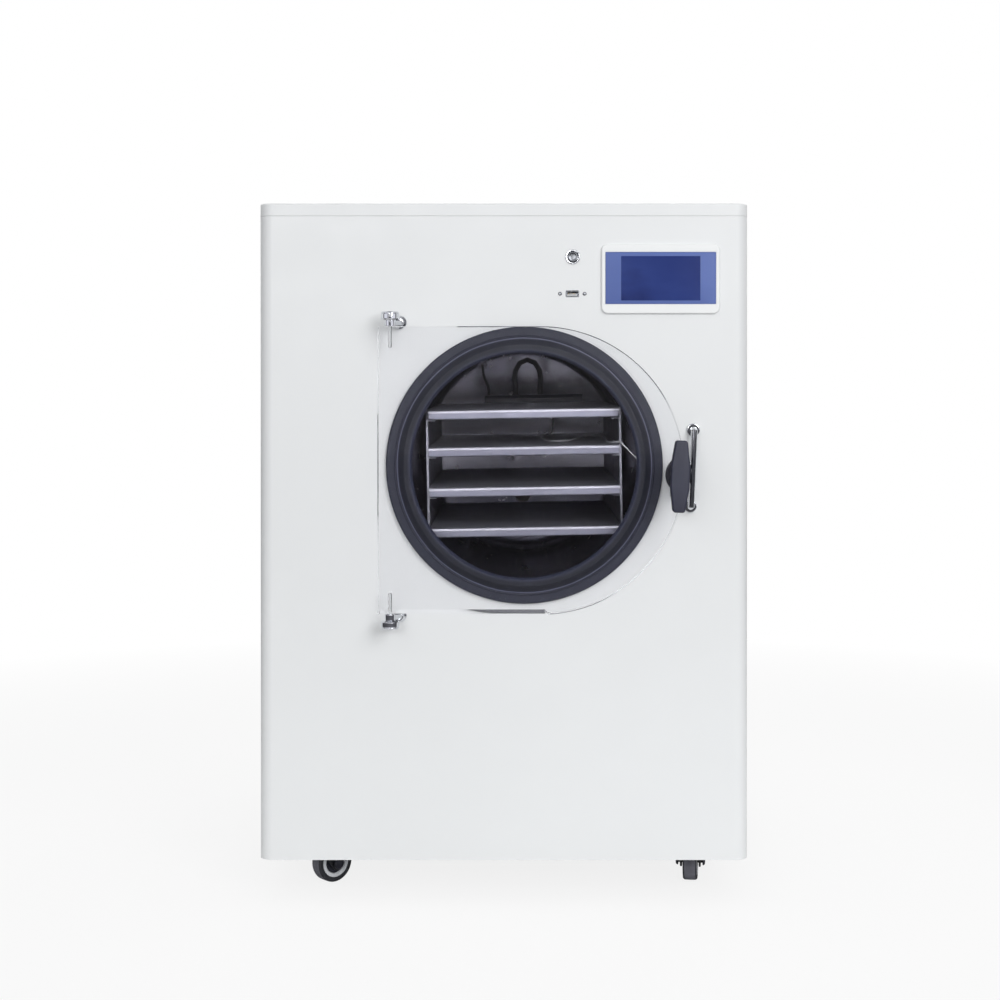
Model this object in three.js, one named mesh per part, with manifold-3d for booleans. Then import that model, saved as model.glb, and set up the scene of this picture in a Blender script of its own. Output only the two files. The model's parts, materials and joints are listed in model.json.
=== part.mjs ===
// Cabinet freeze dryer with a clear hinged door, on four swivel casters.
//
// Millimetres. While the pieces are built, x runs to the right, y runs back from
// the front panel's outer face and z runs up from the floor. The whole machine is
// then moved so that the origin lies on the floor under the middle of its box.

import * as THREE from 'three';
import { mergeVertices } from 'three/addons/utils/BufferGeometryUtils.js';
import Module from 'manifold-3d';

const wasm = await Module();
wasm.setup();

const { Vector2, Vector3, Matrix4 } = THREE;
const DEG = Math.PI / 180;

// ---------------------------------------------------------------- driving sizes

// Fits
const fit = 0.3; // gap where one piece rests on another or passes through it
const runningFit = 0.08; // radial clearance of a pin or shaft that turns

// Cabinet
const cabinetWidth = 590;
const cabinetDepth = 660;
const overallHeight = 840;
const skirtBottom = 48;
const lidHeight = 15;
const edgeRadius = 16;
const sheet = 1.5;
const returnFlange = 18;
const rearPanelInset = 2;
const panSheet = 2;
const panFlange = 25;
const lidTabLength = 40;
const lidTabDrop = 12;

// Side louvres
const louvreCount = 6;
const louvrePitch = 20;
const louvreLength = 220;
const louvreReach = 3.5;
const louvreRise = 9;
const louvreFirstZ = 290;
const louvreCentreY = 330;

// Air slots in the rear panel, over the condenser
const slotRows = 6;
const slotHeight = 10;
const slotBridge = 14;
const slotMargin = 34;

// Vacuum chamber
const chamberX = 24.7;
const chamberDrop = 300; // from the lid's seam down to the chamber's axis
const chamberRadius = 150;
const chamberWall = 4;
const chamberTail = 50; // straight wall behind the depth of a shelf
const rimProud = 2;
const dishDepth = 45;
const dishSteps = 3;
const mountFlangeWidth = 16;
const mountFlangeThick = 4;
const roundSides = 30;
const glandRadius = 7;
const glandLength = 8;
const sensorGlandLeft = 59;
const sensorGlandRise = 121;
const probeGlandReach = 45; // to the right of the axis and above it

// Door seal
const sealStandOff = 12.7;
const sealOuterRadius = 166;
const sealShoulderRadius = 155;
const sealCrestRadius = 144.8;
const sealLipRadius = 137.5;
const sealFlange = 7;
const sealSleeve = 18;
const sealSleeveWall = 4;
const sealRound = 3;

// Door
const doorThick = 25;
const doorRadius = 171;
const doorCentreX = 44;
const doorDrop = 5; // door, latch and strike lie a little under the chamber's axis
const doorLeft = -149.5;
const doorChamfer = 1;

// Hinges
const hingeX = -135;
const hingeSetback = 17; // from the door's rear face to the pin's axis
const hingePinRadius = 4;
const hingePinDepth = 24;
const hingeEyeRadius = 6.5;
const hingeEyeHeight = 7.4;
const hingeKnobRadius = 11;
const hingeKnobHeight = 10;
const hingePostRadius = 5;
const hingePostOffset = 10;
const hingeArmWidth = 8;
const hingeFootRadius = 8;
const hingeFootThick = 3;
const studRadius = 3.5;
const studLength = 8;

// Latch
const latchX = 206;
const latchDrop = 10;
const spindleRadius = 5;
const spindleSquare = 7;
const latchNotch = 11;
const latchFlangeHeight = 44;
const latchFlangeLeft = 14.5;
const latchFlangeRight = 13.5;
const latchFlangeThick = 7;
const latchNutRadius = 12.5;
const latchNutThick = 2.4;
const handleLength = 84.5;
const handleWidth = 22;
const handleStraight = 26;
const handleEndWidth = 13;
const handleWing = 16;
const handleNeck = 19;
const handleNeckRadius = 9;
const handleEdge = 2.5;
const handleLean = 2.4 * DEG;
const camLength = 28;
const camWidth = 12;
const camThick = 4;
const strikeX = 226.3;
const strikeDrop = 4;
const strikeSpan = 92;
const strikeRadius = 4;
const strikeLean = 2.4 * DEG;
const strikeFootRadius = 8;
const strikeFootThick = 3;

// Shelf rack, levels measured from the chamber's axis
const rackRoll = 1 * DEG;
const shelfWidth = 232;
const shelfDepth = 420;
const shelfFront = 20;
const topShelfLevel = 67;
const shelfSteps = [0, 45, 49, 49];
const shelfPlate = 4;
const shelfPan = 7.6;
const shelfLip = 2;
const rackSheet = 2.5;
const rackSetback = 12;
const ledgeWidth = 9;
const ledgeThick = 1.8;
const terminalWidth = 140;
const terminalShift = 16.5;
const terminalDepth = 10;
const terminalHeight = 11;
const terminalInset = 2;
const heaterCableRadius = 4;
const heaterCableLeft = -9;
const heaterCableSpread = 35;
const heaterCableRise = 50;
const sensorCableRadius = 2;
const cableLead = 8; // straight length of a cable at each end
const leadRadius = 1.3;
const leadSteps = 40;
const needleRadius = 1.1;
const ferruleRadius = 1.6;
const ferruleLength = 9;

// Screen, button and data socket on the front panel
const screenSideGap = 106.2; // in from the cabinet's right side
const screenDrop = 76; // under the lid's seam
const screenWidth = 142.4;
const screenHeight = 84;
const screenCorner = 8;
const screenProud = 4;
const screenBevel = 1.5;
const windowWidth = 133.6;
const windowHeight = 63;
const windowRaise = 0.8;
const glassThick = 1.4;
const screenBodyWidth = 128;
const screenBodyHeight = 70;
const screenBodyDepth = 32;
const buttonSideGap = 211.8;
const buttonDrop = 49.5;
const buttonRingRadius = 8.8;
const buttonRingProud = 2.4;
const buttonBodyRadius = 7.6;
const buttonBodyDepth = 22;
const buttonFloor = 6;
const buttonCapRadius = 6.2;
const buttonCapProud = 1.4;
const buttonTravel = 1.5;
const socketSideGap = 212.4;
const socketDrop = 94;
const socketNoseWidth = 15.6;
const socketNoseHeight = 7.6;
const socketWall = 1;
const socketDepth = 17;
const socketEarWidth = 38;
const socketEarHeight = 12;
const socketEarThick = 4;

// Refrigeration
const coilTubeRadius = 4.8;
const coilTurns = 4;
const coilFirstY = 60;
const coilRearGap = 88; // from the last turn to the jacket's rear end
const coilTailReach = 14; // under the jacket
const coilSides = 5;
const coilSteps = 14; // per turn
const jacketWall = 18;
const jacketSides = 16;
const jacketFrontY = 32;
const jacketRearGap = 34;
const compressorX = 130;
const compressorY = 290;
const compressorRadius = 88;
const compressorHeadroom = 70; // under the jacket
const compressorFootHeight = 14;
const compressorFootRadius = 11;
const compressorPlateThick = 9;
const compressorPlateCorner = 12;
const compressorStub = 12;
const compressorWidest = 0.54; // of its height
const coverReach = 26;
const coverHalf = 30;
const condenserX = -140;
const condenserZ = 205;
const condenserWidth = 240;
const condenserHeight = 230;
const condenserDepth = 44;
const condenserRearGap = 8;
const condenserFins = 11;
const condenserFin = 3;
const condenserCore = 16;
const condenserCheek = 6;
const fanRadius = 96;
const fanTipGap = 4;
const fanHubRadius = 26;
const fanHubDepth = 24;
const fanBlades = 5;
const fanBladeThick = 2.4;
const fanBladeChord = 46;
const fanBladeCamber = 7;
const fanBladePitch = 22 * DEG;
const fanShaftRadius = 4;
const shroudDepth = 34;
const shroudWall = 2.5;
const shroudSides = 16;
const motorDepth = 26;
const lineRadius = 3.2;
const suctionRadius = 4.8;
const lineRise = 8; // straight length of a pipe at each joint
const lineArch = 22;
const lineSwing = 30;
const drierRadius = 12;
const drierLength = 80;
const drierStub = 10;
const drierTaper = 8;
const drierOffset = 30; // beside the condenser
const drierZ = 120;
const drierY = 520;

// Inner supports
const cradlePlate = 3;
const cradleFrontY = 16;
const cradleRearGap = 22;
const cradleHalfWidth = 175;
const cradleFoot = 30;
const cradleReach = 40; // how far the cradle rises beside the chamber, below its axis
const cradleWindowWidth = 250;
const cradleWindowSill = 30;
const cradleWindowCorner = 15;
const cradleWeb = 45; // between the window and the chamber

// Rear connections
const portDrop = 70;
const portBore = 12;
const portPipeRadius = 14;
const portFlangeRadius = 20;
const portFlangeThick = 6;
const portReach = 30;
const portStubLength = 15;
const drainRadius = 5;
const drainGap = 9; // from the chamber's straight end
const drainBend = 60;
const drainZ = 150;
const valveReach = 28;
const valveRadius = 9;
const valveCentre = 12; // behind the rear panel
const spoutRadius = 6;
const spoutWall = 2;
const spoutDepth = 7;
const stemRadius = 3.5;
const leverLength = 42;
const leverWidth = 10;
const leverThick = 3;
const leverLift = 12;
const inletX = 200;
const inletZ = 130;
const inletWidth = 28;
const inletHeight = 20;
const inletBodyDepth = 24;
const inletWall = 2;
const inletMouthDepth = 16;
const inletFlangeWidth = 48;
const inletFlangeHeight = 28;
const inletPinSpread = 7;
const inletPinRise = 2;
const inletPinWidth = 2;
const inletPinHeight = 4;
const inletPinSetback = 6;
const controlWidth = 56;
const controlDepth = 240;
const controlHeight = 170;
const controlY = 180;
const controlLift = 35; // over the chamber's axis
const controlFlange = 10;

// Casters
const casterHeight = 68;
const casterInset = 64;
const casterSetback = 70;
const casterTrail = 20;
const wheelRadius = 25;
const wheelWidth = 18;
const wheelSides = 18;
const wheelRound = 2.5;
const axleRadius = 4;
const forkSheet = 2.3;
const forkGap = 1.6;
const forkTop = 56.6;
const forkLegRadius = 9;
const crownRadius = 21;
const plateSize = 58;
const plateThick = 2.5;
const raceRadius = 20;
const kingPinRadius = 5;
const kingPinHead = 3.5;
const casters = [
  { name: 'front_left', side: -1, end: 0, heading: 40 * DEG },
  { name: 'front_right', side: 1, end: 0, heading: 82 * DEG },
  { name: 'rear_left', side: -1, end: 1, heading: 115 * DEG },
  { name: 'rear_right', side: 1, end: 1, heading: 62 * DEG },
];

// ---------------------------------------------------------------- derived sizes

const seamZ = overallHeight - lidHeight;
const chamberZ = seamZ - chamberDrop;
const chamberLength = shelfDepth + chamberTail;
const chamberOuter = chamberRadius + chamberWall;
const doorCentreZ = chamberZ - doorDrop;
const latchZ = chamberZ - latchDrop;
const strikeZ = chamberZ - strikeDrop;
const doorRearY = -sealStandOff - fit;
const doorFrontY = doorRearY - doorThick;
const hingeY = doorRearY - hingeSetback;
const latchFlangeFrontY = doorFrontY - fit - latchFlangeThick;
const handleFrontY = latchFlangeFrontY - fit - handleNeck - handleWing;
const rackHalfWidth = shelfWidth / 2 + fit + rackSheet;
const shelfRearY = shelfFront + shelfDepth;
const panBottom = casterHeight + fit;
const floorZ = panBottom + panSheet;
const rearInnerY = cabinetDepth - sheet;
const screenX = cabinetWidth / 2 - screenSideGap;
const screenZ = seamZ - screenDrop;
const buttonX = cabinetWidth / 2 - buttonSideGap;
const buttonZ = seamZ - buttonDrop;
const socketX = cabinetWidth / 2 - socketSideGap;
const socketZ = seamZ - socketDrop;
const controlZ = chamberZ + controlLift;
const jacketRearY = chamberLength - jacketRearGap;
const coilLastY = jacketRearY - coilRearGap;
const coilPitch = (coilLastY - coilFirstY) / (coilTurns - 1);
const cradleRearY = chamberLength - cradleRearGap;
const drainY = chamberLength - drainGap;
const portZ = chamberZ - portDrop;
const portStubY = chamberLength + dishDepth + portStubLength;
const condenserRearY = rearInnerY - condenserRearGap;
const condenserFrontY = condenserRearY - condenserDepth;
const condenserPlaneY = (condenserFrontY + condenserRearY) / 2;
const condenserRightX = condenserX + condenserWidth / 2 + condenserCheek;
const shroudRearY = condenserFrontY - fit;
const shroudFrontY = shroudRearY - shroudDepth;
const portRearY = cabinetDepth + portReach;
const middleY = (portRearY + handleFrontY) / 2;

// ---------------------------------------------------------------- shape helpers

// Closed geometry with shared vertices and no normals, as the booleans need it.
function closed(geometry) {
  const bare = geometry.index ? geometry.toNonIndexed() : geometry.clone();
  bare.deleteAttribute('normal');
  bare.deleteAttribute('uv');
  return mergeVertices(bare, 1e-4);
}

function toSolid(geometry) {
  const bare = closed(geometry);
  const vertProperties = new Float32Array(bare.attributes.position.array);
  const triVerts = new Uint32Array(bare.index.array);
  return new wasm.Manifold(new wasm.Mesh({ numProp: 3, vertProperties, triVerts }));
}

function toGeometry(solid) {
  const { vertProperties, triVerts } = solid.getMesh();
  const geometry = new THREE.BufferGeometry();
  geometry.setAttribute('position', new THREE.BufferAttribute(vertProperties, 3));
  geometry.setIndex(new THREE.BufferAttribute(triVerts, 1));
  return geometry;
}

function join(...geometries) {
  const solids = geometries.map(toSolid);
  return toGeometry(solids.reduce((whole, piece) => whole.add(piece)));
}

function cut(geometry, ...tools) {
  const body = tools.map(toSolid).reduce((left, tool) => left.subtract(tool), toSolid(geometry));
  return toGeometry(body);
}

function block(x0, x1, y0, y1, z0, z1) {
  const geometry = new THREE.BoxGeometry(x1 - x0, y1 - y0, z1 - z0);
  return geometry.translate((x0 + x1) / 2, (y0 + y1) / 2, (z0 + z1) / 2);
}

// Solid of revolution about an axis parallel to y. Points are [radius, y].
function turnedY(points, x, z, sides, phase = 0) {
  const profile = points.map(([radius, y]) => new Vector2(radius, y));
  return new THREE.LatheGeometry(profile, sides, phase).translate(x, 0, z);
}

// Solid of revolution about a vertical axis. Points are [radius, z].
function turnedZ(points, x, y, sides, phase = 0) {
  const profile = points.map(([radius, z]) => new Vector2(radius, z));
  return new THREE.LatheGeometry(profile, sides, phase).rotateX(Math.PI / 2).translate(x, y, 0);
}

function rodY(radius, x, z, y0, y1, sides = 12) {
  return turnedY([[0, y0], [radius, y0], [radius, y1], [0, y1]], x, z, sides);
}

function rodZ(radius, x, y, z0, z1, sides = 12) {
  return turnedZ([[0, z0], [radius, z0], [radius, z1], [0, z1]], x, y, sides);
}

// Radius of a faceted bore that a faceted shaft can turn in.
function boreRadius(shaftRadius, sides = 12) {
  return (shaftRadius + runningFit) / Math.cos(Math.PI / sides);
}

// Upright outline in x and z, given thickness from y0 to y1.
function uprightPlate(shape, y0, y1, options = {}) {
  const bevel = options.bevelSize ?? 0;
  const settings = { depth: y1 - y0 - 2 * bevel, bevelEnabled: bevel > 0, curveSegments: 8, ...options };
  const geometry = new THREE.ExtrudeGeometry(shape, settings);
  return geometry.rotateX(Math.PI / 2).translate(0, y1 - bevel, 0);
}

// Flat outline in x and y, given thickness from z0 to z1.
function flatPlate(shape, z0, z1, curveSegments = 3) {
  const settings = { depth: z1 - z0, bevelEnabled: false, curveSegments };
  return new THREE.ExtrudeGeometry(shape, settings).translate(0, 0, z0);
}

// Outline in y and z, extruded from x0 to x1.
function sidePlate(shape, x0, x1, curveSegments = 6) {
  const settings = { depth: x1 - x0, bevelEnabled: false, curveSegments };
  const geometry = new THREE.ExtrudeGeometry(shape, settings);
  const axes = new Matrix4().makeBasis(new Vector3(0, 1, 0), new Vector3(0, 0, 1), new Vector3(1, 0, 0));
  return geometry.applyMatrix4(axes).translate(x0, 0, 0);
}

function outline(points) {
  return new THREE.Shape(points.map(([u, v]) => new Vector2(u, v)));
}

function roundedRect(width, height, radius, centreU = 0, centreV = 0) {
  const right = centreU + width / 2 - radius;
  const left = centreU - width / 2 + radius;
  const top = centreV + height / 2 - radius;
  const bottom = centreV - height / 2 + radius;
  const shape = new THREE.Shape();
  shape.absarc(right, bottom, radius, -Math.PI / 2, 0);
  shape.absarc(right, top, radius, 0, Math.PI / 2);
  shape.absarc(left, top, radius, Math.PI / 2, Math.PI);
  shape.absarc(left, bottom, radius, Math.PI, 1.5 * Math.PI);
  return shape;
}

// Slot with half-round ends.
function slotOutline(length, height, centreU, centreV) {
  const reach = (length - height) / 2;
  const shape = new THREE.Shape();
  shape.absarc(centreU + reach, centreV, height / 2, -Math.PI / 2, Math.PI / 2);
  shape.absarc(centreU - reach, centreV, height / 2, Math.PI / 2, 1.5 * Math.PI);
  return shape;
}

function between(from, to, part) {
  return from + (to - from) * part;
}

// Straight bar of a given width between two points.
function strap([u0, v0], [u1, v1], width) {
  const along = new Vector2(u1 - u0, v1 - v0).normalize();
  const du = (-along.y * width) / 2;
  const dv = (along.x * width) / 2;
  return outline([[u0 - du, v0 - dv], [u1 - du, v1 - dv], [u1 + du, v1 + dv], [u0 + du, v0 + dv]]);
}

function circle(radius, sides, centreU = 0, centreV = 0) {
  const points = [];
  for (let i = 0; i < sides; i += 1) {
    const angle = (2 * Math.PI * (i + 0.5)) / sides;
    points.push([centreU + radius * Math.cos(angle), centreV + radius * Math.sin(angle)]);
  }
  return outline(points);
}

// Round tube, solid inside, that follows a smooth curve through the points.
function tube(points, radius, sides = 8, steps = points.length * 4) {
  const path = new THREE.CatmullRomCurve3(points.map((p) => new Vector3(...p)), false, 'centripetal');
  const section = circle(radius, sides);
  return new THREE.ExtrudeGeometry(section, { extrudePath: path, steps, bevelEnabled: false });
}

// ---------------------------------------------------------------- finishes

function finish(color, roughness, metalness) {
  return () => new THREE.MeshStandardMaterial({ color, roughness, metalness });
}

const powderCoat = finish(0xe9ebec, 0.45, 0);
const stainless = finish(0xb9bbc2, 0.22, 1);
const chrome = finish(0xd2d4d8, 0.08, 1);
const shelfAlloy = finish(0x9c9ca8, 0.35, 1);
const galvanised = finish(0xa9adb0, 0.5, 1);
const copper = finish(0xb8734a, 0.3, 1);
const blackRubber = finish(0x26272e, 0.7, 0);
const darkPlastic = finish(0x3e3f50, 0.45, 0);
const whitePlastic = finish(0xeef0f2, 0.35, 0);
const blackPaint = finish(0x1b1c1f, 0.4, 0);
const foam = finish(0x2b2d31, 0.9, 0);
const cableJacket = finish(0x1d1d20, 0.55, 0);
const screenFace = finish(0x5a6cae, 0.15, 0);

function clearAcrylic() {
  const settings = { color: 0xeef2f6, roughness: 0.05, metalness: 0, transparent: true, opacity: 0.25 };
  return new THREE.MeshStandardMaterial(settings);
}

function piece(name, geometry, material) {
  const mesh = new THREE.Mesh(geometry, material());
  mesh.name = name;
  return mesh;
}

// ---------------------------------------------------------------- cabinet

// Hood of one louvre on the outside of a side wall, and the tool that hollows it.
function louvreHood(side, z) {
  const face = (side * cabinetWidth) / 2;
  const y0 = louvreCentreY - louvreLength / 2;
  const y1 = louvreCentreY + louvreLength / 2;
  const outer = outline([[-sheet, 0], [louvreReach, 0], [louvreReach, louvreRise / 3], [0, louvreRise]]);
  const settings = { depth: y1 - y0, bevelEnabled: false };
  const hood = new THREE.ExtrudeGeometry(outer, settings).rotateX(Math.PI / 2).translate(0, y1, 0);
  const inner = outline([
    [-3 * sheet, -sheet],
    [louvreReach - sheet, -sheet],
    [louvreReach - sheet, louvreRise / 3 - sheet / 2],
    [-3 * sheet, louvreRise / 3 - sheet / 2 + (louvreReach + 2 * sheet) * 1.2],
  ]);
  const deep = { depth: y1 - y0 - 2 * sheet, bevelEnabled: false };
  const hollow = new THREE.ExtrudeGeometry(inner, deep).rotateX(Math.PI / 2).translate(0, y1 - sheet, 0);
  const turn = side > 0 ? 0 : Math.PI;
  hood.translate(0, -louvreCentreY, 0).rotateZ(turn).translate(face, louvreCentreY, z);
  hollow.translate(0, -louvreCentreY, 0).rotateZ(turn).translate(face, louvreCentreY, z);
  return { hood, hollow };
}

// Front and both sides, bent from one sheet, with a return flange along each rear edge.
function shellOutline() {
  const half = cabinetWidth / 2;
  const back = rearInnerY - fit;
  const inner = edgeRadius - sheet;
  const shape = new THREE.Shape();
  shape.moveTo(half - returnFlange, back - sheet);
  shape.lineTo(half - sheet, back - sheet);
  shape.lineTo(half - sheet, edgeRadius);
  shape.absarc(half - edgeRadius, edgeRadius, inner, 0, -Math.PI / 2, true);
  shape.absarc(-half + edgeRadius, edgeRadius, inner, -Math.PI / 2, -Math.PI, true);
  shape.lineTo(-half + sheet, back - sheet);
  shape.lineTo(-half + returnFlange, back - sheet);
  shape.lineTo(-half + returnFlange, back);
  shape.lineTo(-half, back);
  shape.lineTo(-half, edgeRadius);
  shape.absarc(-half + edgeRadius, edgeRadius, edgeRadius, -Math.PI, -Math.PI / 2);
  shape.absarc(half - edgeRadius, edgeRadius, edgeRadius, -Math.PI / 2, 0);
  shape.lineTo(half, back);
  shape.lineTo(half - returnFlange, back);
  return shape;
}

function cabinetShell() {
  const hoods = [];
  const hollows = [];
  for (const side of [-1, 1]) {
    for (let i = 0; i < louvreCount; i += 1) {
      const { hood, hollow } = louvreHood(side, louvreFirstZ + i * louvrePitch);
      hoods.push(hood);
      hollows.push(hollow);
    }
  }
  const through = [-sheet, 2 * sheet];
  const tools = [
    turnedY(
      [[0, through[0]], [chamberOuter + fit, through[0]], [chamberOuter + fit, through[1]], [0, through[1]]],
      chamberX, chamberZ, roundSides,
    ),
    block(
      screenX - screenBodyWidth / 2 - fit, screenX + screenBodyWidth / 2 + fit, ...through,
      screenZ - screenBodyHeight / 2 - fit, screenZ + screenBodyHeight / 2 + fit,
    ),
    rodY(buttonBodyRadius + fit, buttonX, buttonZ, ...through),
    block(
      socketX - socketNoseWidth / 2 - fit, socketX + socketNoseWidth / 2 + fit, ...through,
      socketZ - socketNoseHeight / 2 - fit, socketZ + socketNoseHeight / 2 + fit,
    ),
  ];
  for (const { x, z } of [...hingeFeet(), ...strikeFeet()]) {
    tools.push(rodY(studRadius + fit, x, z, ...through, 12));
  }
  const walls = flatPlate(shellOutline(), skirtBottom, seamZ - fit);
  return piece('cabinet_shell', cut(join(walls, ...hoods), ...hollows, ...tools), powderCoat);
}

function topLid() {
  const outer = roundedRect(cabinetWidth, cabinetDepth, edgeRadius, 0, cabinetDepth / 2);
  const hollowRadius = edgeRadius - sheet;
  const hollow = roundedRect(
    cabinetWidth - 2 * sheet, cabinetDepth - 2 * sheet, hollowRadius, 0, cabinetDepth / 2,
  );
  const tray = cut(
    flatPlate(outer, seamZ, overallHeight),
    flatPlate(hollow, seamZ - 1, overallHeight - sheet),
  );
  const tabs = [];
  const tabOuter = cabinetWidth / 2 - sheet - fit;
  for (const side of [-1, 1]) {
    for (const y of [cabinetDepth * 0.25, cabinetDepth * 0.75]) {
      const xs = [side * tabOuter, side * (tabOuter - sheet)].sort((a, b) => a - b);
      const ys = [y - lidTabLength / 2, y + lidTabLength / 2];
      tabs.push(block(...xs, ...ys, seamZ - lidTabDrop, overallHeight - sheet / 2));
    }
  }
  return piece('top_lid', join(tray, ...tabs), powderCoat);
}

function rearPanel() {
  const half = cabinetWidth / 2 - rearPanelInset;
  const panel = block(-half, half, rearInnerY, cabinetDepth, skirtBottom + panFlange, seamZ - fit);
  const through = [rearInnerY - sheet, cabinetDepth + sheet];
  const slots = [];
  const rowPitch = (condenserHeight - slotMargin) / (slotRows - 1);
  const slotWidth = (condenserWidth - slotMargin - slotBridge) / 2;
  for (let row = 0; row < slotRows; row += 1) {
    for (const column of [-1, 1]) {
      const x = condenserX + (column * (slotWidth + slotBridge)) / 2;
      const z = condenserZ - ((slotRows - 1) * rowPitch) / 2 + row * rowPitch;
      slots.push(uprightPlate(slotOutline(slotWidth, slotHeight, x, z), ...through, { curveSegments: 2 }));
    }
  }
  const holes = [
    rodY(portPipeRadius + fit, chamberX, portZ, ...through, 16),
    rodY(drainRadius + fit, chamberX, drainZ, ...through, 12),
    block(
      inletX - inletWidth / 2 - fit, inletX + inletWidth / 2 + fit, ...through,
      inletZ - inletHeight / 2 - fit, inletZ + inletHeight / 2 + fit,
    ),
  ];
  return piece('rear_panel', cut(panel, ...slots, ...holes), powderCoat);
}

function basePan() {
  const gap = sheet + fit;
  const rear = rearInnerY - 2 * fit - sheet;
  const depth = rear - gap;
  const middle = gap + depth / 2;
  const corner = edgeRadius - gap;
  const outer = roundedRect(cabinetWidth - 2 * gap, depth, corner, 0, middle);
  const inner = roundedRect(
    cabinetWidth - 2 * gap - 2 * panSheet, depth - 2 * panSheet, corner - panSheet, 0, middle,
  );
  const tray = cut(
    flatPlate(outer, panBottom, panBottom + panFlange),
    flatPlate(inner, floorZ, panBottom + panFlange + 1),
  );
  return piece('base_pan', tray, galvanised);
}

// ---------------------------------------------------------------- chamber

function dishArc(radius, depth, startY, count) {
  const sphere = (radius * radius + depth * depth) / (2 * depth);
  const points = [];
  for (let i = 0; i <= count; i += 1) {
    const r = (radius * (count - i)) / count;
    points.push([r, startY + Math.sqrt(sphere * sphere - r * r) - (sphere - depth)]);
  }
  return points;
}

// Depth of the dished end's inner face at a distance from the axis.
function dishY(radius) {
  const sphere = (chamberRadius ** 2 + dishDepth ** 2) / (2 * dishDepth);
  return chamberLength + Math.sqrt(sphere ** 2 - radius ** 2) - (sphere - dishDepth);
}

const sensorGland = { x: chamberX - sensorGlandLeft, z: chamberZ + sensorGlandRise };
const probeGland = { x: chamberX + probeGlandReach, z: chamberZ + probeGlandReach };

function vacuumChamber() {
  const flangeY = sheet + fit;
  const outerDish = dishArc(chamberOuter, dishDepth + chamberWall, chamberLength, dishSteps);
  const innerDish = dishArc(chamberRadius, dishDepth, chamberLength, dishSteps).reverse();
  const profile = [
    ...innerDish,
    [chamberRadius, -rimProud],
    [chamberOuter, -rimProud],
    [chamberOuter, flangeY],
    [chamberOuter + mountFlangeWidth, flangeY],
    [chamberOuter + mountFlangeWidth, flangeY + mountFlangeThick],
    [chamberOuter, flangeY + mountFlangeThick],
    ...outerDish,
  ];
  const vessel = turnedY(profile, chamberX, chamberZ, roundSides);
  const glands = [sensorGland, probeGland].map(({ x, z }) => {
    const depth = dishY(Math.hypot(x - chamberX, z - chamberZ));
    return rodY(glandRadius, x, z, depth - glandLength, depth + chamberWall / 2, 10);
  });
  const stubStart = dishY(portDrop + portPipeRadius) + chamberWall / 2;
  const stub = rodY(portPipeRadius, chamberX, portZ, stubStart, portStubY, 16);
  const holes = [
    rodY(portBore, chamberX, portZ, chamberLength, portStubY + 5, 16),
    rodZ(drainRadius - 1, chamberX, drainY, chamberZ - chamberOuter - 5, chamberZ - chamberRadius + 5, 12),
  ];
  return piece('vacuum_chamber', cut(join(vessel, stub, ...glands), ...holes), stainless);
}

// Black rubber ring: a flange on the panel, a raised lip that the door presses on,
// and a sleeve inside the chamber's mouth.
function doorSeal() {
  const sleeveOuter = chamberRadius - fit;
  const sleeveInner = sleeveOuter - sealSleeveWall;
  const profile = [
    [sealOuterRadius, -fit],
    [chamberOuter + fit, -fit],
    [chamberOuter + fit, -rimProud - fit],
    [sleeveOuter, -rimProud - fit],
    [sleeveOuter, sealSleeve],
    [sleeveInner, sealSleeve],
    [sleeveInner, sealSleeveWall],
    [sealLipRadius, -sealSleeveWall],
    [sealLipRadius, -sealStandOff + sealRound],
    [sealLipRadius + sealRound, -sealStandOff],
    [sealCrestRadius, -sealStandOff],
    [sealCrestRadius + 5, -sealStandOff + 3.3],
    [sealShoulderRadius, -sealFlange],
    [sealOuterRadius - 2, -sealFlange],
    [sealOuterRadius, -sealFlange + 2],
    [sealOuterRadius, -fit],
  ];
  return piece('door_seal', turnedY(profile, chamberX, chamberZ, roundSides), blackRubber);
}

// ---------------------------------------------------------------- shelf rack

function shelfLevels() {
  let level = topShelfLevel;
  return shelfSteps.map((step) => {
    level -= step;
    return level;
  });
}

// Heated shelf: a plate with a closed heater pan under it, set back from its edges.
function shelf(number, level) {
  const half = shelfWidth / 2;
  const section = outline([
    [shelfFront, level - shelfPlate],
    [shelfFront + shelfLip, level - shelfPlate],
    [shelfFront + shelfLip, level - shelfPlate - shelfPan],
    [shelfRearY - shelfLip, level - shelfPlate - shelfPan],
    [shelfRearY - shelfLip, level - shelfPlate],
    [shelfRearY, level - shelfPlate],
    [shelfRearY, level],
    [shelfFront, level],
  ]);
  return piece(`shelf_${number}`, sidePlate(section, -half, half), shelfAlloy);
}

// Upright side sheet with a ledge under each shelf, standing on the chamber wall.
function rackSide(name, side) {
  const inside = shelfWidth / 2 + fit;
  const wallReach = chamberRadius * Math.cos(Math.PI / roundSides) - fit;
  const foot = -Math.sqrt(wallReach ** 2 - rackHalfWidth ** 2);
  const points = [[rackHalfWidth, foot], [rackHalfWidth, topShelfLevel], [inside, topShelfLevel]];
  for (const level of shelfLevels()) {
    const under = level - shelfPlate - shelfPan - fit;
    points.push([inside, under], [inside - ledgeWidth, under]);
    points.push([inside - ledgeWidth, under - ledgeThick], [inside, under - ledgeThick]);
  }
  points.push([inside, foot]);
  const mirrored = points.map(([x, z]) => [side * x, z]);
  const sheetShape = outline(side > 0 ? mirrored : mirrored.reverse());
  return piece(name, uprightPlate(sheetShape, shelfFront + rackSetback, shelfRearY), stainless);
}

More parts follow.
